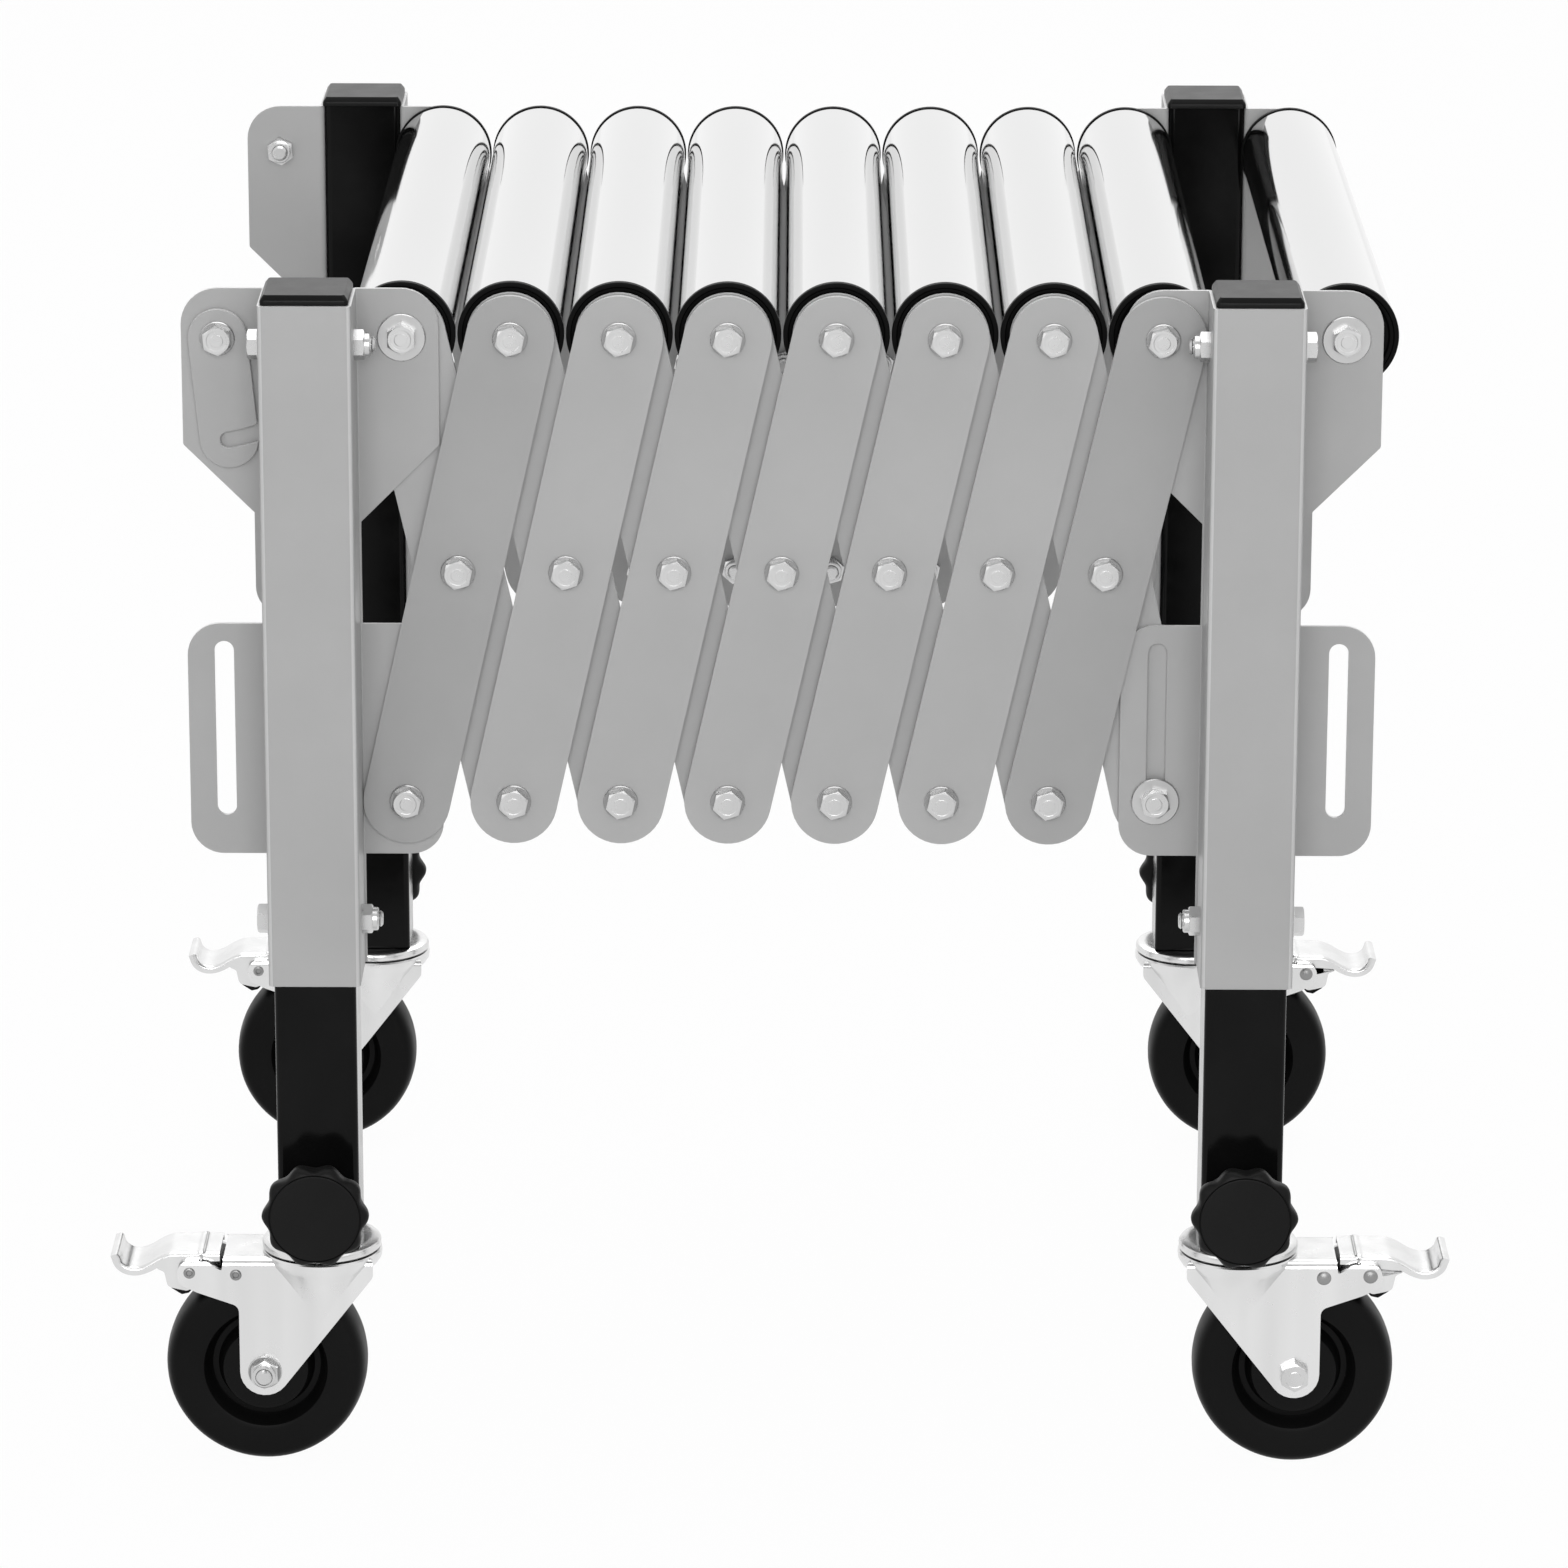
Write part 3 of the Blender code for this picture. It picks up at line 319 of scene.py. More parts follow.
def plate(loops, inside, outside):
    """A plate with outlines in XZ, between two distances from the middle plane on the near side."""
    mesh = along_y(filled(loops, outside - inside))
    mesh.transform(Matrix.Translation((0, -(inside + outside) / 2, 0)))
    return mesh


def post(loops, low, high):
    """An upright bar with outlines in XY, between two heights."""
    mesh = filled(loops, high - low)
    mesh.transform(Matrix.Translation((0, 0, (low + high) / 2)))
    return mesh


def combined(base, tools, operation):
    for tool in tools:
        holder = held(base)
        helper = held(tool)
        step = holder.modifiers.new("combine", "BOOLEAN")
        step.operation = operation
        step.solver = "EXACT"
        step.object = helper
        base = settled(holder)
        bpy.data.objects.remove(helper)
    return base


def eased(mesh, width=EDGE, segments=2):
    """The same shape with its edges rounded."""
    holder = held(joined_flats(mesh))
    bevel = holder.modifiers.new("edges", "BEVEL")
    bevel.width = width
    bevel.segments = segments
    bevel.limit_method = "ANGLE"
    bevel.angle_limit = math.radians(30)
    bevel.use_clamp_overlap = True
    return settled(holder)


def edged(mesh, is_edge, index=1):
    """Another material on the sheet's cut edges or bends, chosen by a face's normal and middle. On the painted sheets
    this is a lighter paint, a painted highlight.
    """
    for polygon in mesh.polygons:
        if is_edge(polygon.normal, polygon.center):
            polygon.material_index = index
    return mesh


def is_cut_edge(normal, middle):
    """Whether a face is on the cut edge of a sheet that stands in the XZ plane."""
    return abs(normal.y) < 0.8


def bridged(shape, rings):
    """Faces all around between each ring of points and the next."""
    for lower, upper in zip(rings, rings[1:]):
        for step in range(len(lower)):
            after = (step + 1) % len(lower)
            shape.faces.new((lower[step], lower[after], upper[after], upper[step]))


def turned(profile, steps, closed=True):
    """A shape turned about Z from (radius, height) points running down its outer side."""
    shape = bmesh.new()
    rings = []
    for radius, height in profile:
        if radius == 0:
            rings.append([shape.verts.new((0, 0, height))] * steps)
        else:
            rings.append([shape.verts.new((x, y, height)) for x, y in circle(0, 0, radius, steps)])
    if closed:
        rings.append(rings[0])
    for upper, lower in zip(rings, rings[1:]):
        for step in range(steps):
            after = (step + 1) % steps
            corners = [upper[step], lower[step], lower[after], upper[after]]
            corners = [corner for index, corner in enumerate(corners) if corner not in corners[:index]]
            if len(corners) > 2:
                shape.faces.new(corners)
    bmesh.ops.recalc_face_normals(shape, faces=shape.faces)
    return finished(shape, "turned")


def rod(radius, start, end, steps=24):
    """A plain cylinder between two points."""
    start = Vector(start)
    end = Vector(end)
    length = (end - start).length
    shape = bmesh.new()
    bmesh.ops.create_cone(shape, cap_ends=True, segments=steps, radius1=radius, radius2=radius, depth=length)
    turn = (end - start).to_track_quat("Z", "Y").to_matrix().to_4x4()
    bmesh.ops.transform(shape, matrix=Matrix.Translation((start + end) / 2) @ turn, verts=shape.verts)
    return finished(shape, "rod")


def aimed(mesh, point, direction):
    """The mesh, built along +Z from z = 0, set on a point and pointed along a direction."""
    mesh = mesh.copy()
    turn = Vector(direction).to_track_quat("Z", "Y").to_matrix().to_4x4()
    mesh.transform(Matrix.Translation(point) @ turn)
    return mesh


def mirrored(mesh):
    mesh = mesh.copy()
    mesh.transform(Matrix.Scale(-1, 4, (0, 1, 0)))
    mesh.flip_normals()
    return mesh


def both_sides(mesh):
    """A near mesh with its mirror image for the far side."""
    return {"near": mesh, "far": mirrored(mesh)}


def gathered(meshes):
    """Several meshes as one."""
    shape = bmesh.new()
    for mesh in meshes:
        shape.from_mesh(mesh)
    return finished(shape, "gathered")


def along_y(mesh):
    """The mesh, built along +Z, laid along -Y."""
    mesh.transform(Matrix.Rotation(math.pi / 2, 4, "X"))
    return mesh


def circle(centre_x, centre_y, radius, steps=32):
    angles = [2 * math.pi * step / steps for step in range(steps)]
    return [(centre_x + radius * math.cos(angle), centre_y + radius * math.sin(angle)) for angle in angles]


def rounded(corners, steps=8):
    """A closed outline through (x, y, fillet radius) corners."""
    loop = []
    for index, (x, y, radius) in enumerate(corners):
        corner = Vector((x, y))
        if radius == 0:
            loop.append((x, y))
            continue
        before = (Vector(corners[index - 1][:2]) - corner).normalized()
        after = (Vector(corners[(index + 1) % len(corners)][:2]) - corner).normalized()
        half = before.angle(after) / 2
        centre = corner + (before + after).normalized() * (radius / math.sin(half))
        first = corner + before * (radius / math.tan(half)) - centre
        last = corner + after * (radius / math.tan(half)) - centre
        start = math.atan2(first.y, first.x)
        turn = math.remainder(math.atan2(last.y, last.x) - start, 2 * math.pi)
        for step in range(steps + 1):
            angle = start + turn * step / steps
            loop.append((centre.x + radius * math.cos(angle), centre.y + radius * math.sin(angle)))
    return loop


def stadium(centre_x, low, high, width, steps=20):
    """An upright outline with round ends about two heights."""
    radius = width / 2
    loop = []
    for centre_y, start in ((high, 0), (low, math.pi)):
        for step in range(steps + 1):
            angle = start + math.pi * step / steps
            loop.append((centre_x + radius * math.cos(angle), centre_y + radius * math.sin(angle)))
    return loop


def shaded(mesh, angle):
    """The same mesh with smooth bends, and flat faces that stay flat up to their rounded edges."""
    mesh.shade_smooth()
    mesh.set_sharp_from_angle(angle=math.radians(angle))
    holder = held(mesh)
    step = holder.modifiers.new("normals", "WEIGHTED_NORMAL")
    step.keep_sharp = True
    return evaluated(holder)


SHADED = {}


def piece(name, mesh, materials, body, location=(0, 0, 0), rotation=(0, 0, 0), replaces=()):
    """One piece of the visual model, in place in the row frame, riding on its body. Copies share their mesh."""
    if mesh.name not in SHADED:
        SHADED[mesh.name] = shaded(mesh, BOLT_SMOOTH_ANGLE if materials is BOLTS else SMOOTH_ANGLE)
        for material in materials if isinstance(materials, tuple) else (materials,):
            SHADED[mesh.name].materials.append(material)
    obj = bpy.data.objects.new(name, SHADED[mesh.name])
    bpy.context.scene.collection.objects.link(obj)
    obj.location = location
    obj.rotation_euler = rotation
    bpy.context.view_layer.update()
    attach(obj, body)
    if replaces:
        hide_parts(*replaces)


# Fasteners, built along +Z from the face that they bear on

def hex_shape(height, steps=48):
    """An open hexagonal prism with the curved chamfer of a turned top, and the ring of points around its top."""
    shape = bmesh.new()
    reach = HEAD_FLATS / 2
    crown = reach * 0.96
    slope = math.tan(math.radians(28))
    bottom = []
    shoulder = []
    top = []
    for angle in [2 * math.pi * step / steps for step in range(steps)]:
        side = (angle + math.pi / 6) % (math.pi / 3) - math.pi / 6
        radius = reach / math.cos(side)
        drop = (radius - crown) * slope
        bottom.append(shape.verts.new((radius * math.cos(angle), radius * math.sin(angle), 0)))
        shoulder.append(shape.verts.new((radius * math.cos(angle), radius * math.sin(angle), height - drop)))
        top.append(shape.verts.new((crown * math.cos(angle), crown * math.sin(angle), height)))
    bridged(shape, [bottom, shoulder, top])
    shape.faces.new(bottom[::-1])
    return shape, top


def head_mesh():
    """Hexagon head with the faint turned rings of a forged top."""
    shape, rim = hex_shape(HEAD_HEIGHT)
    rings = [rim]
    for share, depth in ((0.80, 0.0), (0.76, 0.00012), (0.52, 0.00012), (0.48, 0.0)):
        level = HEAD_HEIGHT - depth
        rings.append([shape.verts.new((vert.co.x * share, vert.co.y * share, level)) for vert in rim])
    bridged(shape, rings)
    shape.faces.new(rings[-1])
    return finished(shape, "head")


def washer_mesh(radius, face):
    """Flat washer: a darker face, of the material with index face, within a bright rim. The face's darker zinc is
    painted shade.
    """
    rim = 0.0005
    bore = PIN_RADIUS + 0.0003
    profile = [
        (bore, WASHER_SHEET), (radius - rim, WASHER_SHEET), (radius - 0.0001, WASHER_SHEET - rim), (radius, 0),
        (bore, 0),
    ]
    return edged(turned(profile, 48), lambda normal, middle: abs(normal.z) > 0.9, face)


def thread_mesh():
    """The end of a threaded shank, its ridges turned as rings."""
    level = THREAD_HEIGHT - 0.0008
    profile = [(0, THREAD_HEIGHT), (PIN_RADIUS - 0.0010, THREAD_HEIGHT), (PIN_RADIUS - 0.0002, level)]
    while level > 0.001:
        profile.append((PIN_RADIUS, level - THREAD_PITCH * 0.25))
        profile.append((PIN_RADIUS - 0.0005, level - THREAD_PITCH * 0.75))
        level -= THREAD_PITCH
    profile += [(PIN_RADIUS - 0.0004, 0), (0, 0)]
    return turned(profile, 24, closed=False)


def nut_mesh():
    """Lock nut with its nylon collar, and the thread's end standing out."""
    shape, rim = hex_shape(NUT_HEIGHT)
    shape.faces.new(rim)
    seat = NUT_HEIGHT - 0.0004
    collar = [(0.0043, 0.0079), (0.0052, 0.0079), (0.0057, 0.0074), (0.0058, seat), (0.0043, seat)]
    return gathered([finished(shape, "nut"), turned(collar, 32), thread_mesh()])


HEAD = head_mesh()
NUT = nut_mesh()
WASHER = washer_mesh(WASHER_RADIUS, BOLTS.index(WASHER_SHADE_ZINC))
WIDE_WASHER = washer_mesh(WIDE_WASHER_RADIUS, BOLTS.index(WIDE_WASHER_SHADE_ZINC))


def bolt_pieces(point, outward, grip, washer=WASHER, nut_washer=None):
    """Head and washer on a point that faces outward, with the nut beyond the grip on the other side."""
    point = Vector(point)
    outward = Vector(outward)
    back = point - outward * grip
    seat = point + outward * WASHER_LIFT
    head_seat = seat + outward * WASHER_SHEET
    parts = [aimed(washer, seat, outward), aimed(HEAD, head_seat, outward), rod(PIN_RADIUS, head_seat, back)]
    if nut_washer is None:
        parts.append(aimed(NUT, back, -outward))
    else:
        parts.append(aimed(nut_washer, back, -outward))
        parts.append(aimed(NUT, back - outward * WASHER_SHEET, -outward))
    return parts


# Scissor

def roller_x(index):
    if index > CELLS:
        return LEG_X + HOLE_OFFSET
    return index * PITCH - CELLS * PITCH / 2


def make_arms():
    half = ARM_LENGTH / 2
    outline = [stadium(0, -half, half, ARM_WIDTH)] + [circle(0, height, HOLE_RADIUS) for height in (half, 0, -half)]
    sheets = []
    for face in (OUTER_ARM_FACE, INNER_ARM_FACE):
        sheet = eased(plate(outline, face, face + ARM_SHEET))
        # The cut edges take the painted highlight.
        sheets.append(edged(sheet, is_cut_edge))
    outer, inner = [both_sides(sheet) for sheet in sheets]
    end_outer = both_sides(sheets[0].copy())
    pair_bolts = []
    for height in (0, -half):
        near_bolt = bolt_pieces((0, -ARMS_OUTSIDE, height), (0, -1, 0), ARMS_OUTSIDE - INNER_ARM_FACE)
        pair_bolts += near_bolt + [mirrored(mesh) for mesh in near_bolt]
    pair_bolts += bolt_pieces((0, -ARMS_OUTSIDE, half), (0, -1, 0), 2 * ARMS_OUTSIDE, nut_washer=WASHER)
    pair_bolts = gathered(pair_bolts)
    slot_face = WING_OUTSIDE + WASHER_LIFT
    slot_bolt = bolt_pieces((0, -slot_face, -half), (0, -1, 0), slot_face - INNER_ARM_FACE, WIDE_WASHER)
    slot_bolts = gathered(slot_bolt + [mirrored(mesh) for mesh in slot_bolt])
    for cell in range(1, CELLS + 1):
        place = (roller_x(cell) - PITCH / 2, 0, PIVOT_Z - CELL_HEIGHT / 2)
        outer_turn = (0, FOLD_ANGLE, 0)
        inner_turn = (0, -FOLD_ANGLE, 0)
        for side in SIDES:
            replaced = (f"outer_arms_{cell}",) if side == "near" else ()
            # The outer arms of the end cells take the darker paint, a painted shade.
            arm, paints = (end_outer, END_ARM_SHADE_SHEETS) if cell in (1, CELLS) else (outer, ARM_SHEETS)
            piece(f"outer_arm_{cell}_{side}_skin", arm[side], paints, f"outer_pair_{cell}",
                  place, outer_turn, replaced)
            piece(f"inner_arm_{cell}_{side}_skin", inner[side], ARM_SHEETS, f"inner_pair_{cell}",
                  place, inner_turn, (f"inner_arm_{cell}_{side}",))
        piece(f"scissor_bolts_{cell}", pair_bolts, BOLTS, f"outer_pair_{cell}", place, outer_turn)
        if cell == CELLS:
            piece("slot_bolts", slot_bolts, BOLTS, f"inner_pair_{cell}", place, inner_turn)


def make_rollers():
    """Chrome tubes between end rings; each ring is a stepped moulding that plugs into the tube."""
    ring_back = ROLLER_HALF - RING_WIDTH
    tube_half = ring_back + 0.0002
    bore = ROLLER_RADIUS - 0.0015
    tube = along_y(turned([
        (bore, tube_half), (ROLLER_RADIUS, tube_half), (ROLLER_RADIUS, -tube_half), (bore, -tube_half),
    ], 96))
    plug = bore - 0.0001
    plug_back = ring_back - 0.008
    hub = 0.0046
    face = [
        (hub, 0.0018), (hub, 0), (0.0082, 0), (0.0088, 0.0012), (0.0205, 0.0012), (0.0215, 0.0002), (0.0230, 0),
        (0.0233, 0.0005), (0.0236, 0), (RING_RADIUS - 0.0006, 0), (RING_RADIUS - 0.0001, 0.0002),
        (RING_RADIUS, 0.0006),
    ]
    near_ring = along_y(turned([(radius, ROLLER_HALF - depth) for radius, depth in face] + [
        (RING_RADIUS, ring_back + 0.0002), (RING_RADIUS - 0.0002, ring_back), (plug, ring_back), (plug, plug_back),
        (hub, plug_back),
    ], 96))
    rings = gathered([near_ring, mirrored(near_ring)])
    for index in range(CELLS + 2):
        body = f"roller_{index}"
        place = (roller_x(index), 0, PIVOT_Z)
        piece(f"{body}_tube", tube, CHROME, body, place, replaces=(body,))
        piece(f"{body}_rings", rings, RING_BLACK, body, place)


# Legs

def leg_places(height=0):
    """End, side and place of each of the four legs."""
    for end, sign in ENDS.items():
        for side in SIDES:
            yield end, side, (sign * LEG_X, 0, height)


def hat_section():
    """Plan outline of the near bracket's sheet, with bends of about its own thickness."""
    reach = 0.072
    inner_half = CHANNEL_HALF - SHEET
    channel_inside = CHANNEL_OUTSIDE - SHEET
    right = [
        (CHANNEL_HALF, -CHANNEL_OUTSIDE, 0.0030),
        (CHANNEL_HALF, -WING_OUTSIDE, 0.0009),
        (reach, -WING_OUTSIDE, 0),
        (reach, -WING_FACE, 0),
        (inner_half, -WING_FACE, 0.0031),
        (inner_half, -channel_inside, 0.0008),
    ]
    left = [(-x, y, radius) for x, y, radius in reversed(right)]
    return rounded(right + left, steps=5)


def bracket_elevation():
    """Side outline of the bracket: an upper and a lower pair of wings on the narrow channel."""
    reach = 0.062
    stem = CHANNEL_HALF + 0.001
    upper_bottom = TUBE_TOP - 0.0773
    lower_top = LOWER_PIVOT_Z + SLOT_TRAVEL + 0.0171
    lower_bottom = LOWER_PIVOT_Z - 0.0279
    right = [
        (reach, TUBE_TOP, 0.018),
        (reach, upper_bottom, 0.002),
        (stem, upper_bottom - (reach - stem), 0),
        (stem, lower_top, 0),
        (reach, lower_top, 0.016),
        (reach, lower_bottom, 0.016),
        (stem, lower_bottom, 0),
        (stem, TUBE_TOP - BRACKET_HEIGHT, 0),
    ]
    left = [(-x, z, radius) for x, z, radius in reversed(right)]
    return rounded(right + left, steps=10)


def make_bracket():
    """The near bracket: the folded section cut to its elevation, with slots and holes in the wings."""
    sheet = post([hat_section()], TUBE_TOP - BRACKET_HEIGHT - CUT_MARGIN, TUBE_TOP + CUT_MARGIN)
    elevation = plate([bracket_elevation()], WING_FACE - CUT_MARGIN, CHANNEL_OUTSIDE + CUT_MARGIN)
    sheet = combined(sheet, [elevation], "INTERSECT")
    slot_low = LOWER_PIVOT_Z - SLOT_PLAY
    slot_high = LOWER_PIVOT_Z + SLOT_TRAVEL + SLOT_PLAY
    cuts = []
    for x in (-HOLE_OFFSET, HOLE_OFFSET):
        for outline in (stadium(x, slot_low, slot_high, SLOT_WIDTH, 12), circle(x, PIVOT_Z, HOLE_RADIUS, 24)):
            cuts.append(plate([outline], WING_FACE - CUT_MARGIN, WING_FACE + CUT_MARGIN))
    sheet = eased(combined(sheet, cuts, "DIFFERENCE"), 0.0005)
    bend_start = CHANNEL_OUTSIDE - 0.0025

    # Cut edges and the middle of the channel's outer bends take lighter copies of the paint: painted highlights.
    def is_cut(normal, middle):
        return abs(normal.z) > 0.5 or (abs(middle.x) > 0.03 and is_cut_edge(normal, middle))

    def is_highlit_bend(normal, middle):
        return -middle.y > bend_start and 0.3 < abs(normal.x) < 0.85 and normal.y < 0

    return edged(edged(sheet, is_cut), is_highlit_bend, BRACKET_SHEET.index(BEND_HIGHLIGHT_PAINT))


def square(side, corner, steps=6):
    """Plan outline of a square with round corners about the near leg's middle."""
    half = side / 2
    corners = [(half, half), (-half, half), (-half, -half), (half, -half)]
    return rounded([(x, y - LEG_MIDDLE, corner) for x, y in corners], steps)


def make_cap():
    """Plastic plug: a square plate with a chamfered, slightly crowned top."""
    levels = [
        (0.0423, 0.5923, 0.0022), (0.0423, 0.5941, 0.0022), (0.0417, 0.5949, 0.0020), (0.0392, 0.5966, 0.0016),
        (0.0384, 0.5970, 0.0014),
    ]
    shape = bmesh.new()
    rings = []
    for side, height, corner in levels:
        rings.append([shape.verts.new((x, y, height)) for x, y in square(side, corner, 4)])
    bridged(shape, rings)
    shape.faces.new(rings[-1])
    shape.faces.new(rings[0][::-1])
    bmesh.ops.recalc_face_normals(shape, faces=shape.faces)
    return finished(shape, "cap")


def make_legs():
    bracket = both_sides(make_bracket())
    walls = [square(TUBE_SIDE, 0.003), square(TUBE_SIDE - 2 * TUBE_WALL, 0.001)]
    tube = both_sides(eased(post(walls, TUBE_BOTTOM, TUBE_TOP), 0.0003, 1))
    cap = both_sides(make_cap())
    bolts = {}
    for end, sign in ENDS.items():
        cross = []
        for height in CROSS_BOLTS:
            cross += bolt_pieces((sign * CHANNEL_HALF, -LEG_MIDDLE, height), (sign, 0, 0), 2 * CHANNEL_HALF)
        axle_head = (HOLE_OFFSET, -WING_OUTSIDE, PIVOT_Z)
        axle = bolt_pieces(axle_head, (0, -1, 0), 2 * WING_OUTSIDE, WIDE_WASHER, WIDE_WASHER)
        bolts[end] = {"near": gathered(cross + axle), "far": gathered([mirrored(mesh) for mesh in cross])}
    for end, side, place in leg_places():
        body = f"{end}_frame"
        piece(f"bracket_{end}_{side}_sheet", bracket[side], BRACKET_SHEET, body, place,
              replaces=(f"leg_bracket_{end}_{side}",))
        piece(f"bracket_{end}_{side}_bolts", bolts[end][side], BOLTS, body, place)
        piece(f"tube_{end}_{side}_skin", tube[side], GLOSS_BLACK, body, place,
              replaces=(f"leg_tube_{end}_{side}",))
        piece(f"tube_{end}_{side}_cap", cap[side], CAP_BLACK, body, place)


def make_slides():
    """Inner tube, hidden while the leg is short, on the welded plate and the swivel's top race."""
    walls = [square(SLIDE_SIDE, 0.003), square(SLIDE_SIDE - 2 * TUBE_WALL, 0.001)]
    tubes = both_sides(post(walls, SLIDE_BOTTOM, SLIDE_TOP))
    race = turned([
        (0.0290, 0.1105), (0.0295, 0.1110), (0.0295, 0.1132), (0.0288, 0.1144), (0.0272, 0.1151),
        (0.0240, SLIDE_BOTTOM), (0, SLIDE_BOTTOM), (0, 0.1105),
    ], 72)
    pin = turned([
        (0, 0.1104), (0.0058, 0.1104), (0.0058, 0.1024), (0.0092, 0.1018), (0.0092, 0.0996), (0.0082, 0.0990),
        (0, 0.0990),
    ], 36, closed=False)
    metal = gathered([race, pin])
    metal.transform(Matrix.Translation((0, -LEG_MIDDLE, 0)))
    metals = both_sides(metal)
    for end, side, place in leg_places():
        body = f"leg_slide_{end}_{side}"
        piece(f"slide_{end}_{side}_tube", tubes[side], GLOSS_BLACK, body, place, replaces=(body,))
        piece(f"slide_{end}_{side}_race", metals[side], ZINC, body, place)


def make_knobs():
    """Star knob: ten soft lobes on a shallow rim, a flat face within a thin groove, a tapered neck and the stud."""
    lobes = 10
    steps = 160
    front = 0.2917
    back = 0.2790
    levels = [
        (0.0190, back, 0.0), (0.0210, back + 0.0002, 0.0), (0.0228, back + 0.0012, 0.0003),
        (0.0241, back + 0.0026, 0.0008), (0.0249, back + 0.0040, 0.0011), (0.0251, back + 0.0060, 0.0012),
        (0.0251, front - 0.0040, 0.0012), (0.0248, front - 0.0026, 0.0011), (0.0240, front - 0.0013, 0.0007),
        (0.0231, front - 0.0006, 0.0002), (0.0226, front - 0.0004, 0.0), (0.0224, front - 0.0012, 0.0),
        (0.0220, front - 0.0012, 0.0), (0.0218, front - 0.0003, 0.0), (0.0209, front, 0.0), (0.0001, front, 0.0),
    ]
    shape = bmesh.new()
    rings = []
    for radius, height, lobe in levels:
        ring = []
        for step in range(steps):
            angle = 2 * math.pi * step / steps
            reach = radius + lobe * math.cos(lobes * angle)
            ring.append(shape.verts.new((reach * math.cos(angle), -height, reach * math.sin(angle))))
        rings.append(ring)
    bridged(shape, rings)
    shape.faces.new(rings[0])
    shape.faces.new(rings[-1][::-1])
    bmesh.ops.recalc_face_normals(shape, faces=shape.faces)
    neck_end = back + 0.0006
    neck = along_y(turned([
        (0, 0.2622), (0.0108, 0.2622), (0.0114, 0.2628), (0.0118, 0.2700), (0.0128, 0.2760), (0.0140, neck_end),
        (0, neck_end),
    ], 48, closed=False))
    knobs = both_sides(gathered([finished(shape, "knob"), neck]))
    studs = both_sides(rod(PIN_RADIUS, (0, -0.2594, 0), (0, -0.2630, 0)))
    for end, side, place in leg_places(KNOB_HEIGHT):
        body = f"clamp_knob_{end}_{side}"
        piece(f"knob_{end}_{side}_body", knobs[side], PLASTIC_BLACK, body, place, replaces=(body,))
        piece(f"knob_{end}_{side}_stud", studs[side], BOLT_ZINC, body, place)


def hook_notch():
    """Outline of the hook plate's open notch, about a slightly curved line from its mouth to its round end."""
    line = [(0.0256, -0.0462), (0.0180, -0.0477), (0.0110, -0.0490), (0.0050, -0.0500), (-0.0004, -0.0505)]
    line = [Vector(point) for point in line]
    upper = []
    lower = []
    for index, point in enumerate(line):
        ahead = line[min(index + 1, len(line) - 1)]
        behind = line[max(index - 1, 0)]
        along = (ahead - behind).normalized()
        aside = Vector((-along.y, along.x))
        flare = max(0.0, 0.0012 * (1.5 - index))
        upper.append(tuple(point + aside * HOOK_NOTCH_HALF))
        lower.append(tuple(point - aside * (HOOK_NOTCH_HALF + flare)))
    end = line[-1]
    start = math.atan2(upper[-1][1] - end.y, upper[-1][0] - end.x)
    arc = []
    for angle in [start - math.pi * step / 12 for step in range(1, 12)]:
        arc.append((end.x + HOOK_NOTCH_HALF * math.cos(angle), end.y + HOOK_NOTCH_HALF * math.sin(angle)))
    return upper + arc + lower[::-1]


def make_hooks():
    """Plates with an open notch that catch a second conveyor's axle bolt."""
    shape = plate([stadium(0, -0.050, 0, 0.0285)], OUTER_ARM_FACE, ARMS_OUTSIDE)
    notch = plate([hook_notch()], OUTER_ARM_FACE - CUT_MARGIN, ARMS_OUTSIDE + CUT_MARGIN)
    shape = eased(combined(shape, [notch], "DIFFERENCE"))
    # The cut edges take the painted highlight.
    plates = both_sides(edged(shape, is_cut_edge))
    bolts = both_sides(gathered(bolt_pieces((0, -ARMS_OUTSIDE, 0), (0, -1, 0), ARMS_OUTSIDE - WING_FACE)))
    place = (-LEG_X - HOLE_OFFSET, 0, PIVOT_Z)
    turn = (0, -HOOK_LEAN, 0)
    for side in SIDES:
        body = f"hook_plate_{side}"
        piece(f"hook_{side}_plate", plates[side], BRACKET_SHEET, body, place, turn, (body,))
        piece(f"hook_{side}_bolt", bolts[side], BOLTS, body, place, turn)


# Casters, built about the swivel axis with the wheel trailing towards -X

def from_axle(x, z):
    """A caster's point from one counted from the middle of its wheel."""
    return (x - TRAIL, z + WHEEL_RADIUS)


AXLE = from_axle(0, 0)
BRAKE_PIVOT = from_axle(-0.0366, 0.052)
PLATE_RIVET = from_axle(-0.0136, 0.0511)


def caster_places(name, point=(0, 0)):
    """Body, place and turn of each of the four copies of a piece about a caster's point. Right ones are turned
    half round."""
    x, z = point
    for end, sign in ENDS.items():
        for side, side_sign in SIDES.items():
            turn = (0, 0, 0 if sign < 0 else math.pi)
            yield f"{name}_{end}_{side}", (sign * LEG_X - sign * x, side_sign * LEG_MIDDLE, z), turn


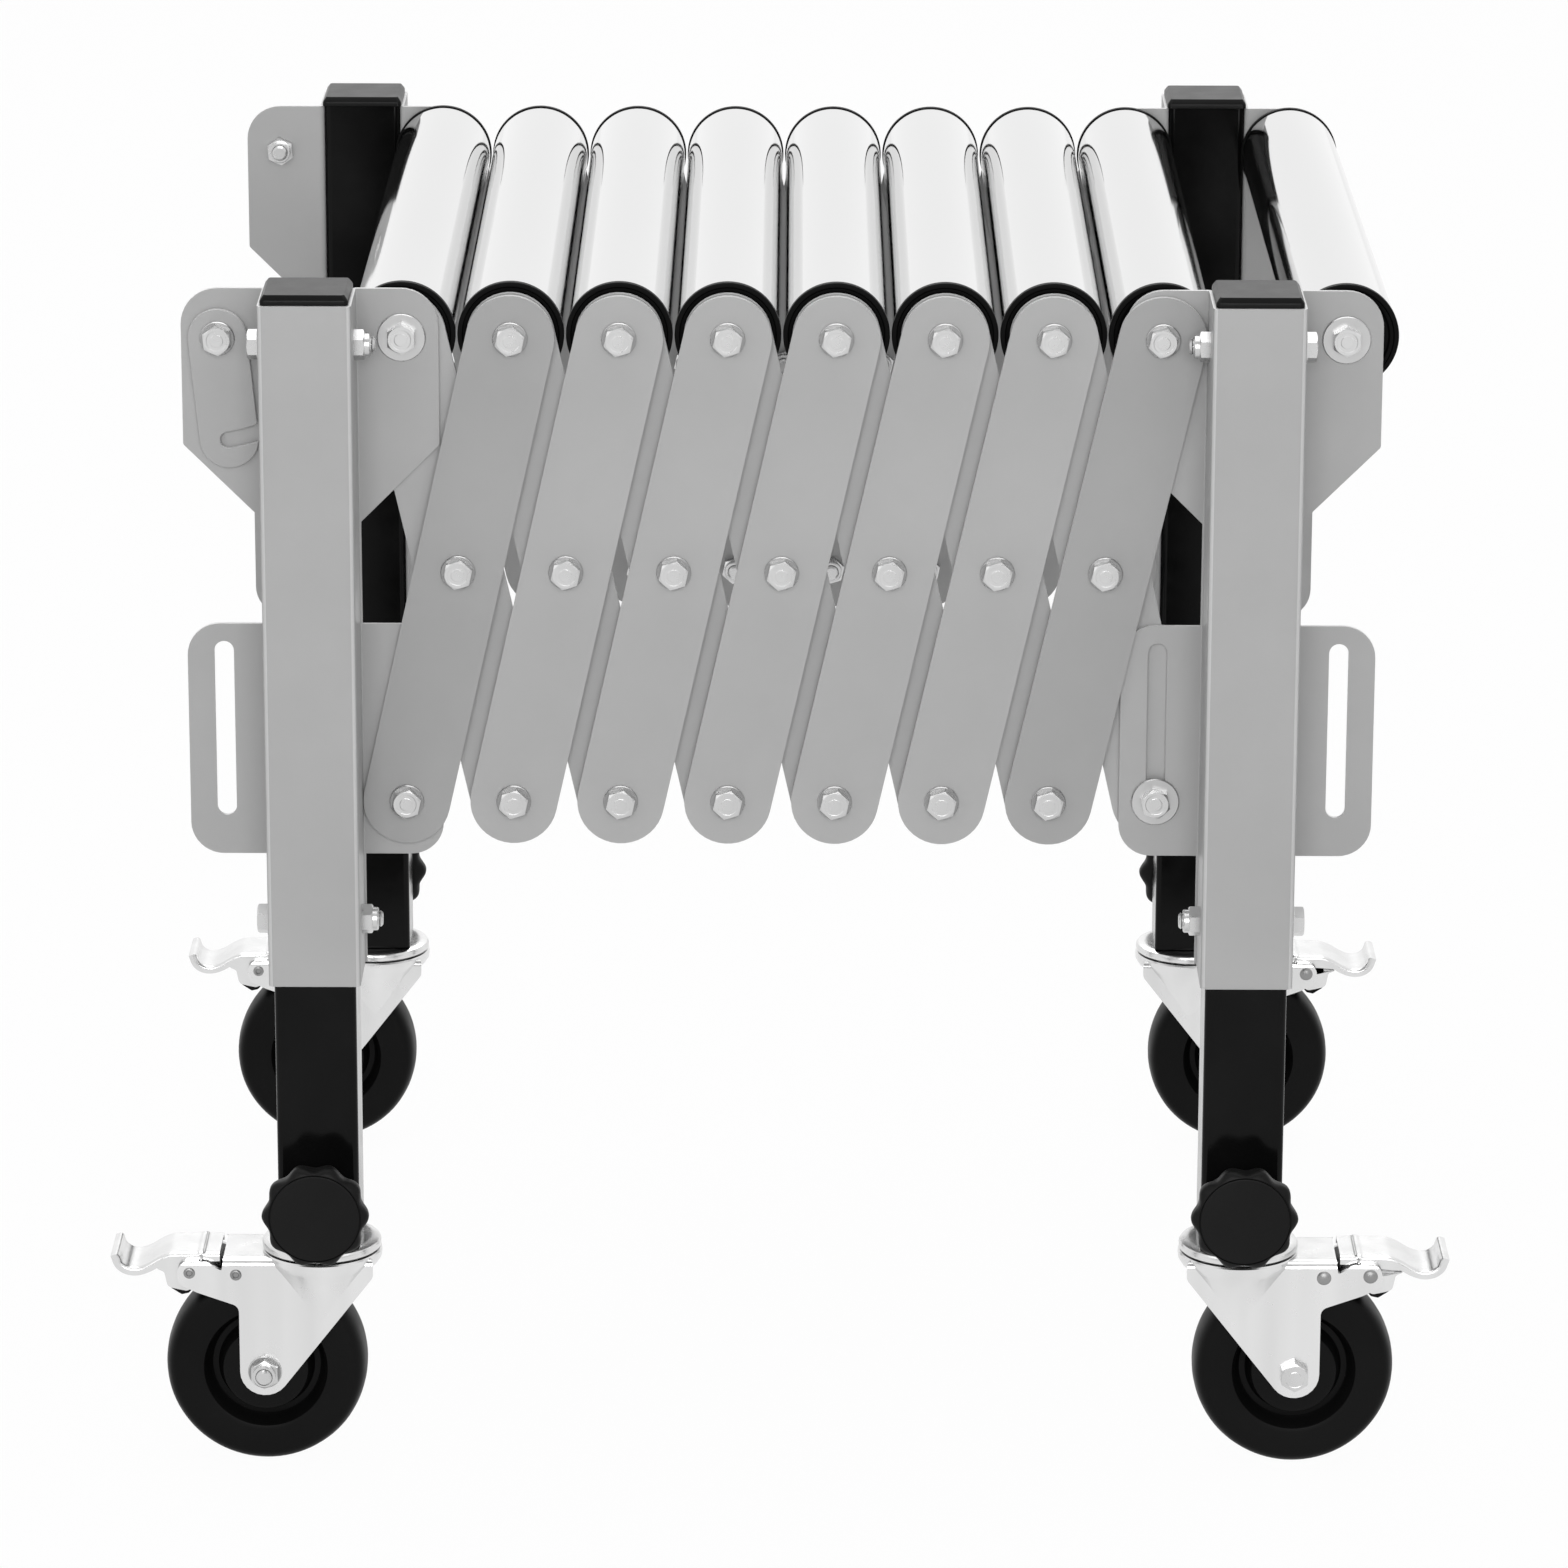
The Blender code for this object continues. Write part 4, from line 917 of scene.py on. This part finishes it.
def fork_outline():
    """Side view of the pressed fork, cheeks and top together."""
    centre = Vector(AXLE)
    front = Vector((0.0262, 0.0998))
    boss = 0.01235
    slant = math.asin(boss / (centre - front).length)
    down = (centre - front).normalized()
    down.rotate(Matrix.Rotation(slant, 2))
    back_x = centre.x - boss
    foot = front + down * ((back_x - front.x) / down.x)
    pivot_x, pivot_z = BRAKE_PIVOT
    corners = [
        (front.x, FORK_TOP, 0.0030),
        (front.x, front.y, 0.004),
        (foot.x, foot.y, boss),
        (back_x, centre.y + 0.0345, 0.0045),
        (*from_axle(-0.0330, 0.0418), 0.003),
        (pivot_x - 0.0061, pivot_z - 0.0055, 0.0055),
        (pivot_x - 0.0058, pivot_z + 0.0062, 0.0058),
        (pivot_x + 0.0085, pivot_z + 0.0052, 0.003),
        (*from_axle(-0.0207, 0.0533), 0.0006),
        (*from_axle(-0.0199, 0.0578), 0.0006),
        (*from_axle(-0.0205, FORK_TOP - WHEEL_RADIUS), 0.0004),
    ]
    return rounded(corners, steps=10)


def box(back, front, half, low, high):
    """A box as wide on both sides of the caster's middle plane."""
    return post([[(back, -half), (front, -half), (front, half), (back, half)]], low, high)


def make_fork_sheet():
    """A U section along X, its two bends round, cut to the side view and notched for the lifted pedal."""
    inside = FORK_HALF - FORK_SHEET
    low = 0.030
    bend = 0.0044
    inner_top = FORK_TOP - FORK_SHEET
    inner_bend = bend - FORK_SHEET
    right = [(FORK_HALF, FORK_TOP, bend), (FORK_HALF, low, 0), (inside, low, 0), (inside, inner_top, inner_bend)]
    left = [(-y, z, radius) for y, z, radius in reversed(right)]
    prism = filled([rounded(right + left, steps=6)], 0.16)
    along_x = Matrix(((0, 0, 1, 0), (1, 0, 0, 0), (0, 1, 0, 0), (0, 0, 0, 1)))
    prism.transform(Matrix.Translation((-0.03, 0, 0)) @ along_x)
    side_view = plate([fork_outline()], -FORK_HALF - CUT_MARGIN, FORK_HALF + CUT_MARGIN)
    notch = box(back=-0.060, front=-0.0478, half=0.0176, low=0.104, high=0.120)
    return eased(combined(combined(prism, [side_view], "INTERSECT"), [notch], "DIFFERENCE"), 0.0005)


def rivet(point, side, profile):
    """A rivet's end on one of the fork's outer faces."""
    x, z = point
    end = edged(turned(profile, 28, closed=False), lambda normal, middle: True)
    return aimed(end, (x, side * FORK_HALF, z), (0, side, 0))


def make_forks():
    """Pressed fork with the swivel's bell on it, the wheel's bolt, and two rivets: rolled over on one side, domed
    on the other."""
    shares = [step / 10 for step in range(10, -1, -1)]
    skirt = [(0.0199 + 0.0098 * share ** 2, 0.0740 + 0.0314 * share) for share in shares]
    inside = [(radius - 0.0016, height) for radius, height in skirt[:1:-1]]
    bell = turned([
        (0.0066, 0.1066), (0.0150, 0.1070), (0.0258, 0.1086), (0.0282, 0.1098), (0.0293, 0.1096), (0.0299, 0.1088),
        (0.0300, 0.1074),
    ] + skirt + inside + [(0.0262, 0.1030), (0.0066, 0.1030)], 72)
    between_cheeks = box(back=-0.04, front=0.04, half=0.0196, low=0.060, high=0.1029)
    bell = combined(bell, [between_cheeks], "DIFFERENCE")
    rolled = [
        (0, 0.0001), (0.0013, 0.0001), (0.0014, 0.0007), (0.0019, 0.0011), (0.0025, 0.0009), (0.0028, 0.0003),
        (0.0029, 0), (0, 0),
    ]
    domed = [(0, 0.0014), (0.0014, 0.0013), (0.0026, 0.0009), (0.0034, 0.0003), (0.0036, 0), (0, 0)]
    axle_x, axle_z = AXLE
    pivot_x, pivot_z = BRAKE_PIVOT
    pin_half = FORK_HALF - 0.0001
    near_end = (axle_x, -FORK_HALF, axle_z)
    far_end = (axle_x, FORK_HALF, axle_z)
    pieces = [
        aimed(NUT, near_end, (0, -1, 0)),
        aimed(WASHER, near_end, (0, -1, 0)),
        aimed(HEAD, far_end, (0, 1, 0)),
        rod(PIN_RADIUS, near_end, far_end),
        rod(0.0021, (pivot_x, -pin_half, pivot_z), (pivot_x, pin_half, pivot_z)),
    ]
    for point in (BRAKE_PIVOT, PLATE_RIVET):
        pieces += [rivet(point, -1, rolled), rivet(point, 1, domed)]
    fork = gathered([make_fork_sheet(), bell])
    bolts = gathered(pieces)
    for body, place, turn in caster_places("caster_fork"):
        piece(f"{body}_sheet", fork, ZINC, body, place, turn, (body,))
        piece(f"{body}_fasteners", bolts, BOLTS, body, place, turn)


def make_wheels():
    """One moulding: crowned tread, faces dished to a ring groove, a raised hub and a sleeve in its bore."""
    half = [
        (0.0044, 0.0170), (0.0120, 0.0170), (0.0128, 0.0166), (0.0196, 0.0160), (0.0210, 0.0152), (0.0219, 0.0132),
        (0.0228, 0.0084), (0.0240, 0.0064), (0.0268, 0.0062), (0.0284, 0.0080), (0.0298, 0.0126), (0.0308, 0.0145),
        (0.0330, 0.0152), (0.0430, 0.0158), (0.0452, 0.0154), (0.0470, 0.0142), (0.0484, 0.0120), (0.0493, 0.0090),
        (0.0498, 0.0050), (WHEEL_RADIUS, 0.0),
    ]
    wheel = along_y(turned(half + [(radius, -height) for radius, height in half[-2::-1]], 96))
    for body, place, turn in caster_places("caster_wheel", AXLE):
        piece(f"{body}_tyre", wheel, WHEEL_BLACK, body, place, turn, (body,))


def smooth_line(points, parts=6):
    """A Catmull-Rom line through the points."""
    points = [Vector(p) for p in points]
    line = []
    for index in range(len(points) - 1):
        before = points[max(index - 1, 0)]
        start = points[index]
        end = points[index + 1]
        after = points[min(index + 2, len(points) - 1)]
        for step in range(parts):
            t = step / parts
            line.append(0.5 * (2 * start + (end - before) * t + (2 * before - 5 * start + 4 * end - after) * t * t
                               + (3 * start - before - 3 * end + after) * t * t * t))
    line.append(points[-1])
    return line


def pressed(line, half, drop, bend, sheet):
    """A sheet along a line of (x, z) points, with its side edges and its far end bent down and round."""
    arc = [math.pi / 2 * step / 5 for step in range(6)]
    side = [(half - bend + bend * math.sin(a), bend - bend * math.cos(a)) for a in arc] + [(half, drop)]
    section = [(-across, depth) for across, depth in side[::-1]] + side
    stations = []
    for index, point in enumerate(line):
        along = (line[min(index + 1, len(line) - 1)] - line[max(index - 1, 0)]).normalized()
        under = Vector((along.y, -along.x)) if along.x > 0 else Vector((-along.y, along.x))
        stations.append([(point + under * depth, across) for across, depth in section])
    for angle in arc[1:] + [None]:
        ahead = bend if angle is None else bend * math.sin(angle)
        level = drop if angle is None else bend - bend * math.cos(angle)
        stations.append([(point + along * ahead + under * max(depth, level), across) for across, depth in section])
    shape = bmesh.new()
    rows = [[shape.verts.new((place.x, across, place.y)) for place, across in station] for station in stations]
    for row, after in zip(rows, rows[1:]):
        for step in range(len(row) - 1):
            shape.faces.new((row[step], row[step + 1], after[step + 1], after[step]))
    bmesh.ops.remove_doubles(shape, verts=shape.verts, dist=1e-6)
    holder = held(finished(shape, "pressed"))
    skin = holder.modifiers.new("sheet", "SOLIDIFY")
    skin.thickness = sheet
    skin.offset = -1
    return settled(holder)


def make_pedals():
    """Pressed foot plate with a stamped rib and an upturned tip, two ears between the cheeks, and the rubber
    block."""
    foot = pressed(smooth_line([
        (0.0149, 0.0090), (0.0105, 0.0090), (0.0078, 0.0091), (0.0066, 0.0096), (0.0048, 0.0096), (0.0036, 0.0091),
        (0.0000, 0.0090), (-0.0075, 0.0089), (-0.0112, 0.0083), (-0.0156, 0.0064), (-0.0200, 0.0037),
        (-0.0240, 0.0019), (-0.0275, 0.0013), (-0.0308, 0.0019), (-0.0334, 0.0038), (-0.0347, 0.0070),
    ]), half=0.0160, drop=0.0041, bend=0.0019, sheet=0.0012)
    ear = rounded([
        (0.0088, 0.0070, 0), (0.0088, -0.0045, 0.004), (-0.0015, -0.0112, 0.003), (-0.0112, -0.0088, 0.003),
        (-0.0128, -0.0010, 0.002), (-0.0170, 0.0008, 0.001), (-0.0128, 0.0050, 0),
    ], 8)
    ears = []
    for inside, outside in ((0.0138, 0.0158), (-0.0158, -0.0138)):
        ears.append(eased(plate([ear, circle(0, 0, 0.0025, 24)], inside, outside), 0.0003, 1))
    outline = rounded([
        (0.0030, -0.0010, 0.001), (0.0030, -0.0085, 0.002), (-0.0010, -0.0128, 0.0012), (-0.0045, -0.0136, 0.0010),
        (-0.0100, -0.0100, 0.0015), (-0.0100, -0.0010, 0.001),
    ], 5)
    block = eased(plate([outline, circle(0, 0, 0.0024, 20)], -0.0134, 0.0134), 0.0005, 1)
    pedal = gathered([foot] + ears)
    for body, place, turn in caster_places("brake_pedal", BRAKE_PIVOT):
        piece(f"{body}_foot", pedal, ZINC, body, place, turn, (body,))
        piece(f"{body}_block", block, WHEEL_BLACK, body, place, turn)


# Floor, light and camera

def worked_out(tree, operation, *values):
    """The result of a Math node on sockets or numbers."""
    node = tree.nodes.new("ShaderNodeMath")
    node.operation = operation
    for value, socket in zip(values, node.inputs):
        if isinstance(value, float):
            socket.default_value = value
        else:
            tree.links.new(value, socket)
    return node.outputs["Value"]


def mixed(tree, share, first, second):
    node = tree.nodes.new("ShaderNodeMixShader")
    for source, socket in zip((share, first, second), node.inputs):
        tree.links.new(source, socket)
    return node.outputs["Shader"]


def make_floor():
    """Pale floor that keeps the object's shadow. Reflections see it white. The camera looks through most of it to
    the white world, so that a leg slid out below the floor's level stays in sight."""
    material, tree, shader = new_material("pale_floor", 0.8, 0.0, 0.9, 0.0)
    glow = tree.nodes.new("ShaderNodeEmission")
    glow.inputs["Color"].default_value = grey(1)
    glow.inputs["Strength"].default_value = 1.0
    clear = tree.nodes.new("ShaderNodeBsdfTransparent")
    rays = tree.nodes.new("ShaderNodeLightPath").outputs
    reflected = worked_out(tree, "MAXIMUM", rays["Is Glossy Ray"], rays["Is Transmission Ray"])
    reflected_share = worked_out(tree, "MULTIPLY", reflected, FLOOR_CLEAR_SHARE)
    camera_share = worked_out(tree, "MULTIPLY", rays["Is Camera Ray"], FLOOR_CLEAR_SHARE)
    lit = mixed(tree, reflected_share, shader.outputs["BSDF"], glow.outputs["Emission"])
    seen = mixed(tree, camera_share, lit, clear.outputs["BSDF"])
    tree.links.new(seen, tree.nodes["Material Output"].inputs["Surface"])
    shape = bmesh.new()
    bmesh.ops.create_grid(shape, x_segments=1, y_segments=1, size=14)
    mesh = finished(shape, "floor")
    mesh.materials.append(material)
    floor = bpy.data.objects.new("floor", mesh)
    bpy.context.scene.collection.objects.link(floor)


def make_world():
    """White to the camera. As light a soft grey, dimmer to the sides. In reflections white, but darker in front, so
    that gloss black stays black."""
    world = bpy.data.worlds.new("studio")
    bpy.context.scene.world = world
    world.use_nodes = True
    tree = world.node_tree
    back = tree.nodes["Background"]
    back.inputs["Color"].default_value = grey(1)
    rays = tree.nodes.new("ShaderNodeLightPath").outputs
    place = tree.nodes.new("ShaderNodeTexCoord")
    split = tree.nodes.new("ShaderNodeSeparateXYZ")
    tree.links.new(place.outputs["Generated"], split.inputs["Vector"])
    aside = worked_out(tree, "ABSOLUTE", split.outputs["X"])
    light = ranged(tree, aside, 0.42, 0.24, 0.30, 0.95)
    reflection = ranged(tree, split.outputs["Y"], 0.55, 1.0, -0.75, -0.25)
    reflection.node.interpolation_type = "SMOOTHSTEP"
    seen = tree.nodes.new("ShaderNodeMix")
    seen.data_type = "FLOAT"
    tree.links.new(rays["Is Glossy Ray"], seen.inputs["Factor"])
    tree.links.new(light, seen.inputs["A"])
    tree.links.new(reflection, seen.inputs["B"])
    strength = worked_out(tree, "MAXIMUM", seen.outputs["Result"], rays["Is Camera Ray"])
    tree.links.new(strength, back.inputs["Strength"])


def make_lamp(name, place, target, size, power):
    lamp = bpy.data.lights.new(name, "AREA")
    lamp.shape = "RECTANGLE"
    lamp.size, lamp.size_y = size
    lamp.energy = power
    obj = bpy.data.objects.new(name, lamp)
    bpy.context.scene.collection.objects.link(obj)
    obj.location = place
    obj.rotation_euler = (Vector(target) - Vector(place)).to_track_quat("-Z", "Y").to_euler()


def make_camera():
    """The photograph's point of view: a long lens that looks down at the object, turned and rolled a trace."""
    data = bpy.data.cameras.new("camera")
    data.sensor_width = 36
    data.lens = CAMERA_LENS
    camera = bpy.data.objects.new("camera", data)
    bpy.context.scene.collection.objects.link(camera)
    aim = Matrix.Rotation(CAMERA_TURN, 4, "Z") @ Matrix.Rotation(math.pi / 2 - CAMERA_TILT, 4, "X")
    camera.matrix_world = Matrix.Translation(CAMERA_PLACE) @ aim @ Matrix.Rotation(CAMERA_ROLL, 4, "Z")
    bpy.context.scene.camera = camera


def main():
    bpy.context.scene.view_settings.view_transform = "Standard"
    make_camera()
    make_world()
    make_floor()
    for name, settings in LAMPS.items():
        make_lamp(name, *settings)
    make_arms()
    make_rollers()
    make_legs()
    make_slides()
    make_knobs()
    make_hooks()
    make_forks()
    make_wheels()
    make_pedals()


main()
